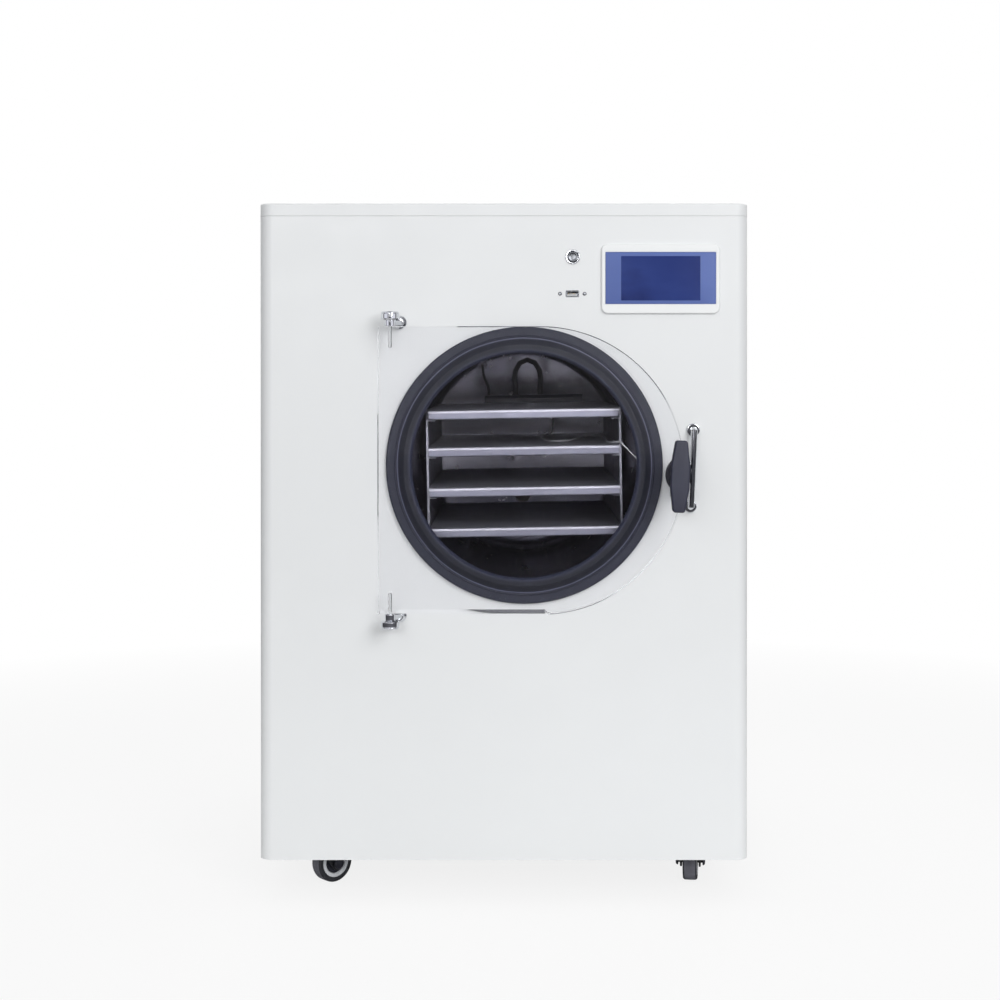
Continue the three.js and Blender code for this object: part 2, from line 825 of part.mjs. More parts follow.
function terminalBar() {
  const base = topShelfLevel + fit;
  const y1 = shelfRearY - terminalInset;
  const y0 = y1 - terminalDepth;
  const section = outline([
    [y0, base],
    [y1, base],
    [y1, base + terminalHeight],
    [y0 + terminalDepth / 3, base + terminalHeight],
    [y0, base + terminalHeight * 0.6],
  ]);
  const x0 = terminalShift - terminalWidth / 2;
  return piece('terminal_bar', sidePlate(section, x0, x0 + terminalWidth), darkPlastic);
}

// Turns a point from the chamber's frame into the rolled frame of the rack.
function toRack(x, z) {
  const u = x - chamberX;
  const v = z - chamberZ;
  return [u * Math.cos(rackRoll) + v * Math.sin(rackRoll), v * Math.cos(rackRoll) - u * Math.sin(rackRoll)];
}

// Loop of the heater cable, standing on the terminal bar.
function heaterCable() {
  const base = topShelfLevel + terminalHeight + 2 * fit;
  const y = shelfRearY - terminalInset - terminalDepth / 3;
  const left = heaterCableLeft;
  const right = left + heaterCableSpread;
  const shoulder = base + heaterCableRise * 0.88;
  const waist = base + heaterCableRise * 0.56;
  const top = base + heaterCableRise;
  const turn = heaterCableSpread / 7;
  const points = [
    [left, y, base],
    [left, y, base + cableLead],
    [left - 1, y, waist],
    [left + turn, y, shoulder],
    [(left + right) / 2, y, top],
    [right - turn, y, shoulder],
    [right + 1, y, waist],
    [right, y, base + cableLead],
    [right, y, base],
  ];
  return piece('heater_cable', tube(points, heaterCableRadius, 8, 10), cableJacket);
}

// From a gland in the dished end down to the left end of the terminal bar.
function sensorCable() {
  const [startX, startZ] = toRack(sensorGland.x, sensorGland.z);
  const glandY = dishY(Math.hypot(sensorGland.x - chamberX, sensorGland.z - chamberZ)) - glandLength - fit;
  const endX = terminalShift - terminalWidth / 2 + 3 * sensorCableRadius;
  const endY = shelfRearY - terminalInset - terminalDepth / 3;
  const base = topShelfLevel + terminalHeight + 2 * fit;
  const down = (part) => between(startZ, base, part);
  const points = [
    [startX, glandY, startZ],
    [startX, glandY - cableLead, startZ],
    [startX + 1, glandY - 2 * cableLead, down(0.1)],
    [startX + 3, endY + 4, down(0.4)],
    [endX - 1, endY, down(0.7)],
    [endX, endY, base + cableLead],
    [endX, endY, base],
  ];
  return piece('sensor_cable', tube(points, sensorCableRadius, 6, 10), cableJacket);
}

function rack() {
  const group = new THREE.Group();
  group.position.set(chamberX, 0, chamberZ);
  group.rotation.y = -rackRoll;
  group.add(rackSide('rack_side_left', -1), rackSide('rack_side_right', 1));
  shelfLevels().forEach((level, index) => group.add(shelf(index + 1, level)));
  group.add(terminalBar(), heaterCable(), sensorCable());
  return group;
}

// Braided lead of the product probe, lying loose on the second shelf.
// The first list runs from the gland to the shelf and is measured from the chamber's axis and
// the shelves' rear edge, the second from the chamber's axis and the front panel.
const leadTail = [
  [45, 59.1, 45],
  [44.9, 46, 44.8],
  [44.3, 32, 41],
  [43.3, 20, 34.5],
  [42.3, 7, 27.6],
  [41.3, -8, 24.6],
  [38.3, -40, 24.3],
  [33.3, -90, 24.2],
];
const leadRun = [
  [28.3, 300, 24.1],
  [25.3, 250, 24.1],
  [25.3, 200, 24.1],
  [28.3, 160, 24.1],
  [35.3, 132, 24.2],
  [46.3, 122, 24.4],
  [57.3, 132, 24.6],
  [65.3, 165, 24.8],
  [73.3, 210, 24.9],
  [82.3, 255, 25.1],
  [91.3, 280, 25.3],
  [100.3, 276, 25.4],
  [105.3, 250, 25.5],
  [106.3, 200, 25.5],
  [105.3, 150, 25.5],
  [104.3, 100, 25.5],
  [105.3, 62, 25.5],
  [107.8, 40, 25.9],
  [111.8, 30, 26.6],
  [115.9, 25, 27],
  [118.9, 22.2, 25.2],
];
const needleStart = [119.3, 21.9, 24.8];
const needleTip = [143.7, 14.5, -0.4];

function fromAxis([x, y, z]) {
  return [chamberX + x, y, chamberZ + z];
}

function probeLead() {
  const tail = leadTail.map(([x, y, z]) => [x, shelfRearY + y, z]);
  const points = [...tail, ...leadRun].map(fromAxis);
  return piece('probe_lead', tube(points, leadRadius, 8, leadSteps), galvanised);
}

function probeNeedle() {
  const from = new Vector3(...fromAxis(needleStart));
  const span = new Vector3(...fromAxis(needleTip)).sub(from);
  const length = span.length();
  const profile = [
    [0, 0],
    [ferruleRadius, 0],
    [ferruleRadius, ferruleLength],
    [needleRadius, ferruleLength + 1],
    [needleRadius, length - 3],
    [0, length],
  ];
  const geometry = new THREE.LatheGeometry(profile.map(([r, y]) => new Vector2(r, y)), 8);
  const needle = piece('probe_needle', geometry, stainless);
  needle.position.copy(from);
  needle.quaternion.setFromUnitVectors(new Vector3(0, 1, 0), span.normalize());
  return needle;
}

// ---------------------------------------------------------------- door and hinges

function doorOutline() {
  const shape = new THREE.Shape();
  const inset = doorChamfer;
  const radius = doorRadius - inset;
  const notch = latchNotch + inset;
  const edgeX = doorCentreX + Math.sqrt(radius ** 2 - (latchZ + notch - doorCentreZ) ** 2);
  const lowAngle = Math.asin((latchZ - notch - doorCentreZ) / radius);
  const highAngle = Math.asin((latchZ + notch - doorCentreZ) / radius);
  shape.moveTo(doorLeft + inset, doorCentreZ - radius);
  shape.lineTo(doorCentreX, doorCentreZ - radius);
  shape.absarc(doorCentreX, doorCentreZ, radius, -Math.PI / 2, lowAngle);
  shape.absarc(latchX, latchZ, notch, -Math.PI / 2, -1.5 * Math.PI, true);
  shape.lineTo(edgeX, latchZ + notch);
  shape.absarc(doorCentreX, doorCentreZ, radius, highAngle, Math.PI / 2);
  shape.lineTo(doorLeft + inset, doorCentreZ + radius);
  return shape;
}

function doorPanel() {
  const panel = uprightPlate(doorOutline(), doorFrontY, doorRearY, {
    curveSegments: 8,
    bevelSize: doorChamfer,
    bevelThickness: doorChamfer,
    bevelSegments: 1,
  });
  const radius = boreRadius(hingePinRadius);
  const top = doorCentreZ + doorRadius;
  const bottom = doorCentreZ - doorRadius;
  const depth = hingePinDepth + 1;
  const bores = [
    rodZ(radius, hingeX, hingeY, top - depth, top + 5),
    rodZ(radius, hingeX, hingeY, bottom - 5, bottom + depth),
  ];
  return piece('door_panel', cut(panel, ...bores), clearAcrylic);
}

// end is +1 at the door's top and -1 at its bottom.
function hingePostZ(end) {
  return doorCentreZ + end * (doorRadius + fit + hingePostRadius);
}

function hingeFeet() {
  return [1, -1].map((end) => ({ x: hingeX + hingePostOffset, z: hingePostZ(end) }));
}

// Turned post on the panel, with a cranked arm to the eye that carries the hinge pin.
function hingePost(name, end) {
  const x = hingeX + hingePostOffset;
  const z = hingePostZ(end);
  const inner = doorCentreZ + end * (doorRadius + fit);
  const outer = inner + end * hingeEyeHeight;
  const [low, high] = [inner, outer].sort((a, b) => a - b);
  const frontY = hingeY + hingeKnobRadius + fit;
  const post = turnedY(
    [
      [0, frontY],
      [hingePostRadius - 1, frontY],
      [hingePostRadius, frontY + 1],
      [hingePostRadius, -fit - hingeFootThick - 2],
      [hingeFootRadius, -fit - hingeFootThick],
      [hingeFootRadius, -fit],
      [studRadius, -fit],
      [studRadius, studLength],
      [0, studLength],
    ],
    x, z, 8,
  );
  const eye = rodZ(hingeEyeRadius, hingeX, hingeY, low, high);
  const arm = flatPlate(strap([x, frontY + 2], [hingeX, hingeY], hingeArmWidth), low + 0.6, high - 0.6);
  const bore = rodZ(hingePinRadius + fit, hingeX, hingeY, low - 5, high + 5);
  return piece(name, cut(join(eye, arm, post), bore), chrome);
}

// Turned pin with a domed, grooved head, from the eye down into the door.
function hingePin(name, end) {
  const face = doorCentreZ + end * (doorRadius + fit + hingeEyeHeight + fit);
  const tip = doorCentreZ + end * (doorRadius - hingePinDepth);
  const out = (distance) => face + end * distance;
  const profile = [
    [0, tip],
    [hingePinRadius - 0.6, tip],
    [hingePinRadius, tip + end * 0.8],
    [hingePinRadius, face],
    [hingeKnobRadius - 1.2, face],
    [hingeKnobRadius, out(1.2)],
    [hingeKnobRadius, out(hingeKnobHeight - 1.6)],
    [hingeKnobRadius - 1.8, out(hingeKnobHeight)],
    [0, out(hingeKnobHeight)],
  ];
  const ordered = end > 0 ? profile : profile.reverse();
  return piece(name, turnedZ(ordered, hingeX, hingeY, 12), chrome);
}

// ---------------------------------------------------------------- latch

function latchHousing() {
  const flange = new THREE.Shape();
  const half = latchFlangeHeight / 2;
  const bulge = (half * half + latchFlangeLeft * latchFlangeLeft) / (2 * latchFlangeLeft);
  const sweep = Math.asin(half / bulge);
  flange.moveTo(latchX + latchFlangeRight, latchZ - half + 3);
  flange.lineTo(latchX + latchFlangeRight, latchZ + half - 3);
  flange.lineTo(latchX + latchFlangeRight - 3, latchZ + half);
  const centreX = latchX - latchFlangeLeft + bulge;
  flange.absarc(centreX, latchZ, bulge, Math.PI - sweep, Math.PI + sweep);
  flange.lineTo(latchX + latchFlangeRight - 3, latchZ - half);
  const front = uprightPlate(flange, latchFlangeFrontY, doorFrontY - fit, { curveSegments: 7 });
  const bodyRadius = latchNotch - fit;
  const body = rodY(bodyRadius, latchX, latchZ, doorFrontY - 1, doorRearY);
  const nut = rodY(latchNutRadius, latchX, latchZ, doorRearY + fit, doorRearY + fit + latchNutThick, 6);
  const neck = rodY(bodyRadius - 1, latchX, latchZ, doorRearY - 1, doorRearY + fit + 1);
  const bore = rodY(
    boreRadius(spindleRadius), latchX, latchZ, latchFlangeFrontY - 1, doorRearY + fit + latchNutThick + 1,
  );
  return piece('latch_housing', cut(join(front, body, neck, nut), bore), darkPlastic);
}

const camRearY = doorRearY + fit + latchNutThick + 2 * fit + camThick;

function handleOutline() {
  const half = handleLength / 2 - handleEdge;
  const wide = handleWidth / 2 - handleEdge;
  const narrow = handleEndWidth / 2 - handleEdge;
  const straight = handleStraight / 2;
  return outline([
    [wide, -straight],
    [wide, straight],
    [narrow + 1, half - 1.5],
    [narrow - 1, half],
    [-narrow + 1, half],
    [-narrow - 1, half - 1.5],
    [-wide, straight],
    [-wide, -straight],
    [-narrow - 1, -half + 1.5],
    [-narrow + 1, -half],
    [narrow - 1, -half],
    [narrow + 1, -half + 1.5],
  ]);
}

// Wing handle on its spindle. The spindle's square end carries the cam.
function latchHandle() {
  const wingRear = handleFrontY + handleWing;
  const wing = uprightPlate(handleOutline(), handleFrontY, wingRear, {
    bevelSize: handleEdge,
    bevelThickness: handleEdge,
    bevelSegments: 1,
  });
  const neck = turnedY(
    [
      [0, wingRear - handleEdge],
      [handleNeckRadius + 1, wingRear - handleEdge],
      [handleNeckRadius, wingRear + handleNeck / 2],
      [handleNeckRadius + 1, latchFlangeFrontY - fit],
      [spindleRadius, latchFlangeFrontY - fit],
      [spindleRadius, camRearY - camThick - fit],
      [0, camRearY - camThick - fit],
    ],
    0, 0, 12,
  );
  const side = spindleSquare / 2;
  const square = block(-side, side, camRearY - camThick - 1, camRearY + 1.5, -side, side);
  return piece('latch_handle', join(wing, neck, square), darkPlastic);
}

function latchCam() {
  const radius = camWidth / 2;
  const shape = new THREE.Shape();
  shape.absarc(0, 0, radius, 0, Math.PI);
  shape.lineTo(-radius, -camLength + 2);
  shape.lineTo(-radius + 2, -camLength);
  shape.lineTo(radius - 2, -camLength);
  shape.lineTo(radius, -camLength + 2);
  const side = spindleSquare / 2 + fit;
  const plate = uprightPlate(shape, camRearY - camThick, camRearY);
  const hole = block(-side, side, camRearY - 2 * camThick, camRearY + camThick, -side, side);
  return piece('latch_cam', cut(plate, hole), galvanised);
}

function strikeFeet() {
  return [1, -1].map((end) => ({
    x: strikeX + end * (strikeSpan / 2) * Math.sin(strikeLean),
    z: strikeZ + end * (strikeSpan / 2) * Math.cos(strikeLean),
  }));
}

// U-shaped rod on two flanged feet. The cam turns in behind its upright.
function latchStrike() {
  const rodFrontY = camRearY - camThick - 2 * fit - strikeRadius;
  const feet = strikeFeet();
  const bend = 6;
  const path = [];
  feet.forEach(({ x, z }, index) => {
    const inward = index === 0 ? -1 : 1;
    const dx = inward * bend * Math.sin(strikeLean);
    const dz = inward * bend * Math.cos(strikeLean);
    const leg = [
      [x, -fit - 1, z],
      [x, rodFrontY + bend, z],
      [x + dx * 0.3, rodFrontY + bend * 0.3, z + dz * 0.3],
      [x + dx, rodFrontY, z + dz],
    ];
    path.push(...(index === 0 ? leg : leg.reverse()));
  });
  const rod = tube(path, strikeRadius, 8, 11);
  const flanges = feet.map(({ x, z }) => turnedY(
    [
      [0, -fit - strikeFootThick],
      [strikeFootRadius - 1, -fit - strikeFootThick],
      [strikeFootRadius, -fit - strikeFootThick + 1],
      [strikeFootRadius, -fit],
      [studRadius, -fit],
      [studRadius, studLength],
      [0, studLength],
    ],
    x, z, 8,
  ));
  return piece('latch_strike', join(rod, ...flanges), chrome);
}

function latchTurningParts() {
  const group = new THREE.Group();
  group.position.set(latchX, 0, latchZ);
  group.rotation.y = handleLean;
  group.add(latchHandle(), latchCam());
  return group;
}

// ---------------------------------------------------------------- front controls

const glassFrontY = -screenProud - fit + 0.4;
const windowZ = screenZ + windowRaise;

function screenBezel() {
  const face = roundedRect(
    screenWidth - 2 * screenBevel, screenHeight - 2 * screenBevel, screenCorner - screenBevel,
    screenX, screenZ,
  );
  const rim = uprightPlate(face, -screenProud - fit - screenBevel, -fit + screenBevel, {
    curveSegments: 4,
    bevelSize: screenBevel,
    bevelThickness: screenBevel,
    bevelSegments: 1,
  });
  const flat = block(
    screenX - screenWidth, screenX + screenWidth, -fit, screenProud * 3,
    screenZ - screenHeight, screenZ + screenHeight,
  );
  const front = block(
    screenX - screenWidth, screenX + screenWidth, -screenProud * 4, -screenProud - fit,
    screenZ - screenHeight, screenZ + screenHeight,
  );
  const recess = block(
    screenX - windowWidth / 2, screenX + windowWidth / 2, -screenProud * 2, glassFrontY + glassThick + fit,
    windowZ - windowHeight / 2, windowZ + windowHeight / 2,
  );
  const body = block(
    screenX - screenBodyWidth / 2, screenX + screenBodyWidth / 2, -fit - 1, screenBodyDepth,
    screenZ - screenBodyHeight / 2, screenZ + screenBodyHeight / 2,
  );
  return piece('screen_bezel', cut(join(cut(rim, flat, front), body), recess), whitePlastic);
}

function screenGlass() {
  const width = windowWidth / 2 - fit;
  const height = windowHeight / 2 - fit;
  const glass = block(
    screenX - width, screenX + width, glassFrontY, glassFrontY + glassThick,
    windowZ - height, windowZ + height,
  );
  return piece('screen_glass', glass, screenFace);
}

const buttonHole = boreRadius(buttonCapRadius, 12);

function buttonRing() {
  const floor = buttonBodyDepth - buttonFloor;
  const profile = [
    [0, floor],
    [buttonHole, floor],
    [buttonHole, -buttonRingProud + 0.6],
    [buttonHole + 0.7, -buttonRingProud],
    [buttonRingRadius - 1, -buttonRingProud],
    [buttonRingRadius, -buttonRingProud + 0.8],
    [buttonRingRadius, -fit],
    [buttonBodyRadius, -fit],
    [buttonBodyRadius, buttonBodyDepth],
    [0, buttonBodyDepth],
  ];
  return piece('button_ring', turnedY(profile, buttonX, buttonZ, 12), chrome);
}

function powerButton() {
  const rear = buttonBodyDepth - buttonFloor - buttonTravel - fit;
  const front = -buttonRingProud - buttonCapProud;
  const profile = [
    [0, front],
    [buttonCapRadius - 1.6, front + 0.2],
    [buttonCapRadius, front + 1],
    [buttonCapRadius, rear],
    [0, rear],
  ];
  return piece('power_button', turnedY(profile, buttonX, buttonZ, 12), chrome);
}

function dataSocket() {
  const halfW = socketNoseWidth / 2;
  const halfH = socketNoseHeight / 2;
  const back = sheet + fit;
  const nose = block(
    socketX - halfW, socketX + halfW, -0.6, back + socketDepth, socketZ - halfH, socketZ + halfH,
  );
  const ears = block(
    socketX - socketEarWidth / 2, socketX + socketEarWidth / 2, back, back + socketEarThick,
    socketZ - socketEarHeight / 2, socketZ + socketEarHeight / 2,
  );
  const mouth = block(
    socketX - halfW + socketWall, socketX + halfW - socketWall, -2, back + socketDepth - 3,
    socketZ - halfH + socketWall, socketZ + halfH - socketWall,
  );
  return piece('data_socket', cut(join(nose, ears), mouth), stainless);
}

function controlBox() {
  const x1 = cabinetWidth / 2 - sheet - fit;
  const x0 = x1 - controlWidth;
  const box = block(x0, x1, controlY, controlY + controlDepth, controlZ, controlZ + controlHeight);
  const flange = block(
    x1 - panSheet, x1, controlY - controlFlange, controlY + controlDepth + controlFlange,
    controlZ + controlFlange, controlZ + controlHeight - controlFlange,
  );
  return piece('control_box', join(box, flange), galvanised);
}

// ---------------------------------------------------------------- inner supports

// Standing sheet plate, saddle-cut for the chamber, with a foot bent towards the middle.
function cradle(name, y, footSide) {
  const top = chamberZ - cradleReach;
  const base = floorZ + fit;
  const radius = chamberOuter + fit;
  const angle = Math.asin(cradleReach / radius);
  const halfMouth = radius * Math.cos(angle);
  const shape = new THREE.Shape();
  shape.moveTo(chamberX - cradleHalfWidth, base);
  shape.lineTo(chamberX + cradleHalfWidth, base);
  shape.lineTo(chamberX + cradleHalfWidth, top);
  shape.lineTo(chamberX + halfMouth, top);
  shape.absarc(chamberX, chamberZ, radius, -angle, -Math.PI + angle, true);
  shape.lineTo(chamberX - cradleHalfWidth, top);
  const plate = uprightPlate(shape, y, y + cradlePlate, { curveSegments: 12 });
  const windowBottom = base + cradleWindowSill;
  const windowTop = chamberZ - radius - cradleWeb;
  const window = roundedRect(
    cradleWindowWidth, windowTop - windowBottom, cradleWindowCorner,
    chamberX, (windowBottom + windowTop) / 2,
  );
  const opening = uprightPlate(window, y - 5, y + cradlePlate + 5, { curveSegments: 1 });
  const footStart = footSide > 0 ? y : y + cradlePlate - cradleFoot;
  const foot = block(
    chamberX - cradleHalfWidth, chamberX + cradleHalfWidth, footStart, footStart + cradleFoot,
    base, base + cradlePlate,
  );
  return piece(name, join(cut(plate, opening), foot), galvanised);
}

// ---------------------------------------------------------------- refrigeration

const coilInside = chamberOuter + fit;
const coilRadius = (coilInside + coilTubeRadius) / Math.cos(Math.PI / coilSteps);
const coilOutside = coilRadius + coilTubeRadius;
const coilTailZ = chamberZ - coilOutside - jacketWall - coilTailReach;
const jacketInner = (coilOutside + fit) / Math.cos(Math.PI / jacketSides);
const jacketOuter = jacketInner + jacketWall;

// Cooling tube wound round the chamber, with a tail down through the jacket at each end.
function evaporatorCoil() {
  const helix = [];
  const count = (coilTurns - 1) * coilSteps;
  for (let i = 0; i <= count; i += 1) {
    const turn = i / coilSteps;
    const angle = -Math.PI / 2 + 2 * Math.PI * turn;
    helix.push(new Vector3(
      chamberX + coilRadius * Math.cos(angle),
      coilFirstY + coilPitch * turn,
      chamberZ + coilRadius * Math.sin(angle),
    ));
  }
  const path = new THREE.CurvePath();
  for (let i = 0; i < count; i += 1) {
    path.add(new THREE.LineCurve3(helix[i], helix[i + 1]));
  }
  const section = circle(coilTubeRadius, coilSides);
  const wound = new THREE.ExtrudeGeometry(section, { extrudePath: path, steps: count, bevelEnabled: false });
  const tails = [coilFirstY, coilLastY].map((y) => (
    rodZ(coilTubeRadius, chamberX, y, coilTailZ, chamberZ - coilRadius + 2, 8)
  ));
  return piece('evaporator_coil', join(wound, ...tails), copper);
}

function insulationJacket() {
  const profile = [
    [jacketInner, jacketFrontY],
    [jacketOuter, jacketFrontY],
    [jacketOuter, jacketRearY],
    [jacketInner, jacketRearY],
    [jacketInner, jacketFrontY],
  ];
  const sleeve = turnedY(profile, chamberX, chamberZ, jacketSides);
  const holes = [coilFirstY, coilLastY].map((y) => (
    rodZ(coilTubeRadius + fit, chamberX, y, chamberZ - jacketOuter - 10, chamberZ - jacketInner + 12, 10)
  ));
  return piece('insulation_jacket', cut(sleeve, ...holes), foam);
}

const suctionPort = { x: compressorX - 50, y: compressorY + 30 };
const dischargePort = { x: compressorX - 40, y: compressorY - 45 };
const compressorBase = floorZ + fit + compressorFootHeight;
const compressorTop = chamberZ - jacketOuter - compressorHeadroom;
const lineStartZ = compressorTop + compressorStub + fit;

// Welded can: its profile in parts of the radius and the height.
const canProfile = [
  [0, 0],
  [0.72, 0],
  [0.95, 0.12],
  [0.96, 0.5],
  [1, compressorWidest],
  [0.96, 0.6],
  [0.93, 0.82],
  [0.62, 0.97],
  [0, 1],
];

function compressor() {
  const base = compressorBase;
  const r = compressorRadius;
  const h = compressorTop - base;
  const can = turnedZ(canProfile.map(([u, v]) => [u * r, base + v * h]), compressorX, compressorY, 12);
  const plateWidth = r * 2.1;
  const plateDepth = r * 1.7;
  const plate = flatPlate(
    roundedRect(plateWidth, plateDepth, compressorPlateCorner, compressorX, compressorY),
    base - compressorPlateThick / 3, base + compressorPlateThick * (2 / 3), 2,
  );
  const feet = [];
  for (const sx of [-1, 1]) {
    for (const sy of [-1, 1]) {
      const x = compressorX + sx * (plateWidth / 2 - compressorFootRadius - 3);
      const y = compressorY + sy * (plateDepth / 2 - compressorFootRadius - 3);
      feet.push(rodZ(compressorFootRadius, x, y, floorZ + fit, base - 2, 8));
    }
  }
  const cover = block(
    compressorX + r * 0.7, compressorX + r + coverReach, compressorY - coverHalf, compressorY + coverHalf,
    base + h * 0.3, base + h * 0.7,
  );
  const stubs = [suctionPort, dischargePort].map(({ x, y }) => (
    rodZ(suctionRadius + 1.5, x, y, base + h * 0.7, compressorTop + compressorStub, 8)
  ));
  return piece('compressor', join(can, plate, cover, ...feet, ...stubs), blackPaint);
}

// Finned block on a sill: a core slab with upright fins on both faces.
function condenser() {
  const x0 = condenserX - condenserWidth / 2;
  const pitch = condenserWidth / condenserFins;
  const coreFront = condenserFrontY + (condenserDepth - condenserCore) / 2;
  const coreRear = coreFront + condenserCore;
  const front = [];
  const rear = [];
  for (let i = 0; i < condenserFins; i += 1) {
    const left = x0 + i * pitch + (pitch - condenserFin) / 2;
    const right = left + condenserFin;
    front.push([left, coreFront], [left, condenserFrontY], [right, condenserFrontY], [right, coreFront]);
    rear.push([left, coreRear], [left, condenserRearY], [right, condenserRearY], [right, coreRear]);
  }
  const comb = outline([
    [x0, coreRear],
    [x0, coreFront],
    ...front,
    [x0 + condenserWidth, coreFront],
    [x0 + condenserWidth, coreRear],
    ...rear.reverse(),
  ]);
  const low = condenserZ - condenserHeight / 2;
  const fins = flatPlate(comb, low, low + condenserHeight);
  const sill = block(
    x0 - condenserCheek, condenserRightX, condenserFrontY + fit, condenserRearY, floorZ + fit, low + 1,
  );
  const cheeks = [-1, 1].map((side) => {
    const edge = condenserX + (side * condenserWidth) / 2;
    const xs = [edge - side, edge + side * condenserCheek].sort((a, b) => a - b);
    return block(...xs, condenserFrontY + fit, condenserRearY, floorZ + fit, low + condenserHeight);
  });
  return piece('condenser', join(fins, sill, ...cheeks), galvanised);
}

const motorRearY = shroudRearY - 2;
const motorFrontY = motorRearY - motorDepth / 2;

// Square frame with a round throat, the motor held in it by four arms.
function fanShroud() {
  const size = condenserWidth + 10;
  const height = condenserHeight;
  const plateY = shroudRearY - shroudWall;
  const plate = uprightPlate(roundedRect(size, height, 6, condenserX, condenserZ), plateY, shroudRearY, {
    curveSegments: 2,
  });
  const throat = (fanRadius + fanTipGap) / Math.cos(Math.PI / shroudSides);
  const ringProfile = [
    [throat, shroudFrontY],
    [throat + shroudWall, shroudFrontY],
    [throat + shroudWall, shroudRearY],
    [throat, shroudRearY],
    [throat, shroudFrontY],
  ];
  const ring = turnedY(ringProfile, condenserX, condenserZ, shroudSides);
  const hole = rodY(throat, condenserX, condenserZ, plateY - 5, shroudRearY + 5, shroudSides);
  const arms = [0, 1].map((i) => {
    const arm = block(-throat - 1, throat + 1, plateY, shroudRearY, -4, 4);
    return arm.rotateY(Math.PI / 4 + (i * Math.PI) / 2).translate(condenserX, 0, condenserZ);
  });
  const motor = rodY(fanHubRadius - 2, condenserX, condenserZ, motorFrontY, shroudRearY, 12);
  const shaft = rodY(fanShaftRadius, condenserX, condenserZ, motorFrontY - fanHubDepth, motorFrontY + 1, 12);
  return piece('fan_shroud', join(cut(plate, hole), ring, ...arms, motor, shaft), blackPaint);
}

function fanRotor() {
  const hubRear = motorFrontY - 1;
  const hubFront = hubRear - fanHubDepth + 4;
  const bore = boreRadius(fanShaftRadius, 12);
  const hubProfile = [
    [bore, hubFront],
    [fanHubRadius - 4, hubFront],
    [fanHubRadius, hubFront + 4],
    [fanHubRadius, hubRear],
    [bore, hubRear],
    [bore, hubFront],
  ];
  const hub = turnedY(hubProfile, 0, 0, 12);
  const blades = [];
  const bladeTip = Math.sqrt(fanRadius ** 2 - (fanBladeChord / 2) ** 2);
  const span = bladeTip - fanHubRadius + 3;
  for (let i = 0; i < fanBlades; i += 1) {
    const blade = new THREE.Shape();
    blade.moveTo(-fanBladeChord / 2, -fanBladeThick / 2);
    blade.quadraticCurveTo(0, -fanBladeCamber, fanBladeChord / 2, -fanBladeThick / 2);
    blade.lineTo(fanBladeChord / 2, fanBladeThick / 2);
    blade.quadraticCurveTo(0, -fanBladeCamber + 2 * fanBladeThick, -fanBladeChord / 2, fanBladeThick / 2);
    const settings = { depth: span, bevelEnabled: false, curveSegments: 2 };
    const sheetBlade = new THREE.ExtrudeGeometry(blade, settings);
    sheetBlade.rotateZ(-fanBladePitch).translate(0, (hubFront + hubRear) / 2 + 1, fanHubRadius - 3);
    blades.push(sheetBlade.rotateY((2 * Math.PI * i) / fanBlades));
  }
  const rotor = piece('fan_rotor', join(hub, ...blades), blackPaint);
  rotor.position.set(condenserX, 0, condenserZ);
  return rotor;
}

const drierX = condenserX + condenserWidth / 2 + drierOffset;

function filterDrier() {
  const half = drierLength / 2;
  const end = half + drierStub;
  const body = turnedY(
    [
      [0, drierY - end],
      [lineRadius + 1, drierY - end],
      [lineRadius + 1, drierY - half],
      [drierRadius, drierY - half + drierTaper],
      [drierRadius, drierY + half - drierTaper],
      [lineRadius + 1, drierY + half],
      [lineRadius + 1, drierY + end],
      [0, drierY + end],
    ],
    drierX, drierZ, 10,
  );
  const foot = block(
    drierX - 8, drierX + 8, drierY - 12, drierY + 12, floorZ + fit, drierZ - drierRadius + 3,
  );
  const inlet = tube(
    [
      [drierX, drierY + half, drierZ],
      [drierX, drierY + end + 12, drierZ],
      [drierX - 3, condenserPlaneY - 10, drierZ],
      [drierX - 12, condenserPlaneY, drierZ],
      [condenserRightX + fit, condenserPlaneY, drierZ],
    ],
    lineRadius, 6, 6,
  );
  return piece('filter_drier', join(body, foot, inlet), copper);
}

// Up from the compressor, back past the chamber and into the condenser's cheek.
function dischargeLine() {
  const { x, y } = dischargePort;
  const side = condenserRightX + fit;
  const top = condenserZ + condenserHeight / 2 - compressorStub;
  const across = (part) => between(x, side, part);
  const back = (part) => between(y, condenserPlaneY, part);
  const points = [
    [x, y, lineStartZ],
    [x, y, lineStartZ + lineRise],
    [across(0.1), back(0.02), lineStartZ + 0.9 * lineArch],
    [across(0.43), back(0.1), lineStartZ + lineArch],
    [across(0.82), back(0.39), lineStartZ + 0.9 * lineArch],
    [across(0.85), back(0.78), lineStartZ + 0.7 * lineArch],
    [side + lineArch, back(0.95), top + 5],
    [side + compressorStub, condenserPlaneY, top],
    [side, condenserPlaneY, top],
  ];
  return piece('discharge_line', tube(points, lineRadius, 6, 12), copper);
}

// Forward from the drier under the chamber, and up to the coil's first tail.
function liquidLine() {
  const startY = drierY - drierLength / 2 - drierStub - fit;
  const endZ = coilTailZ - fit;
  const left = chamberX - lineSwing;
  const forward = (part) => between(startY, coilFirstY, part);
  const up = (part) => between(drierZ, endZ, part);
  const points = [
    [drierX, startY, drierZ],
    [drierX, startY - 2 * lineRise, drierZ],
    [drierX + lineSwing / 3, forward(0.17), up(0.1)],
    [left, forward(0.41), up(0.29)],
    [left, forward(0.78), up(0.51)],
    [chamberX - lineSwing / 4, forward(0.94), up(0.76)],
    [chamberX, coilFirstY, endZ - 2 * lineRise],
    [chamberX, coilFirstY, endZ],
  ];
  return piece('liquid_line', tube(points, lineRadius, 6, 11), copper);
}

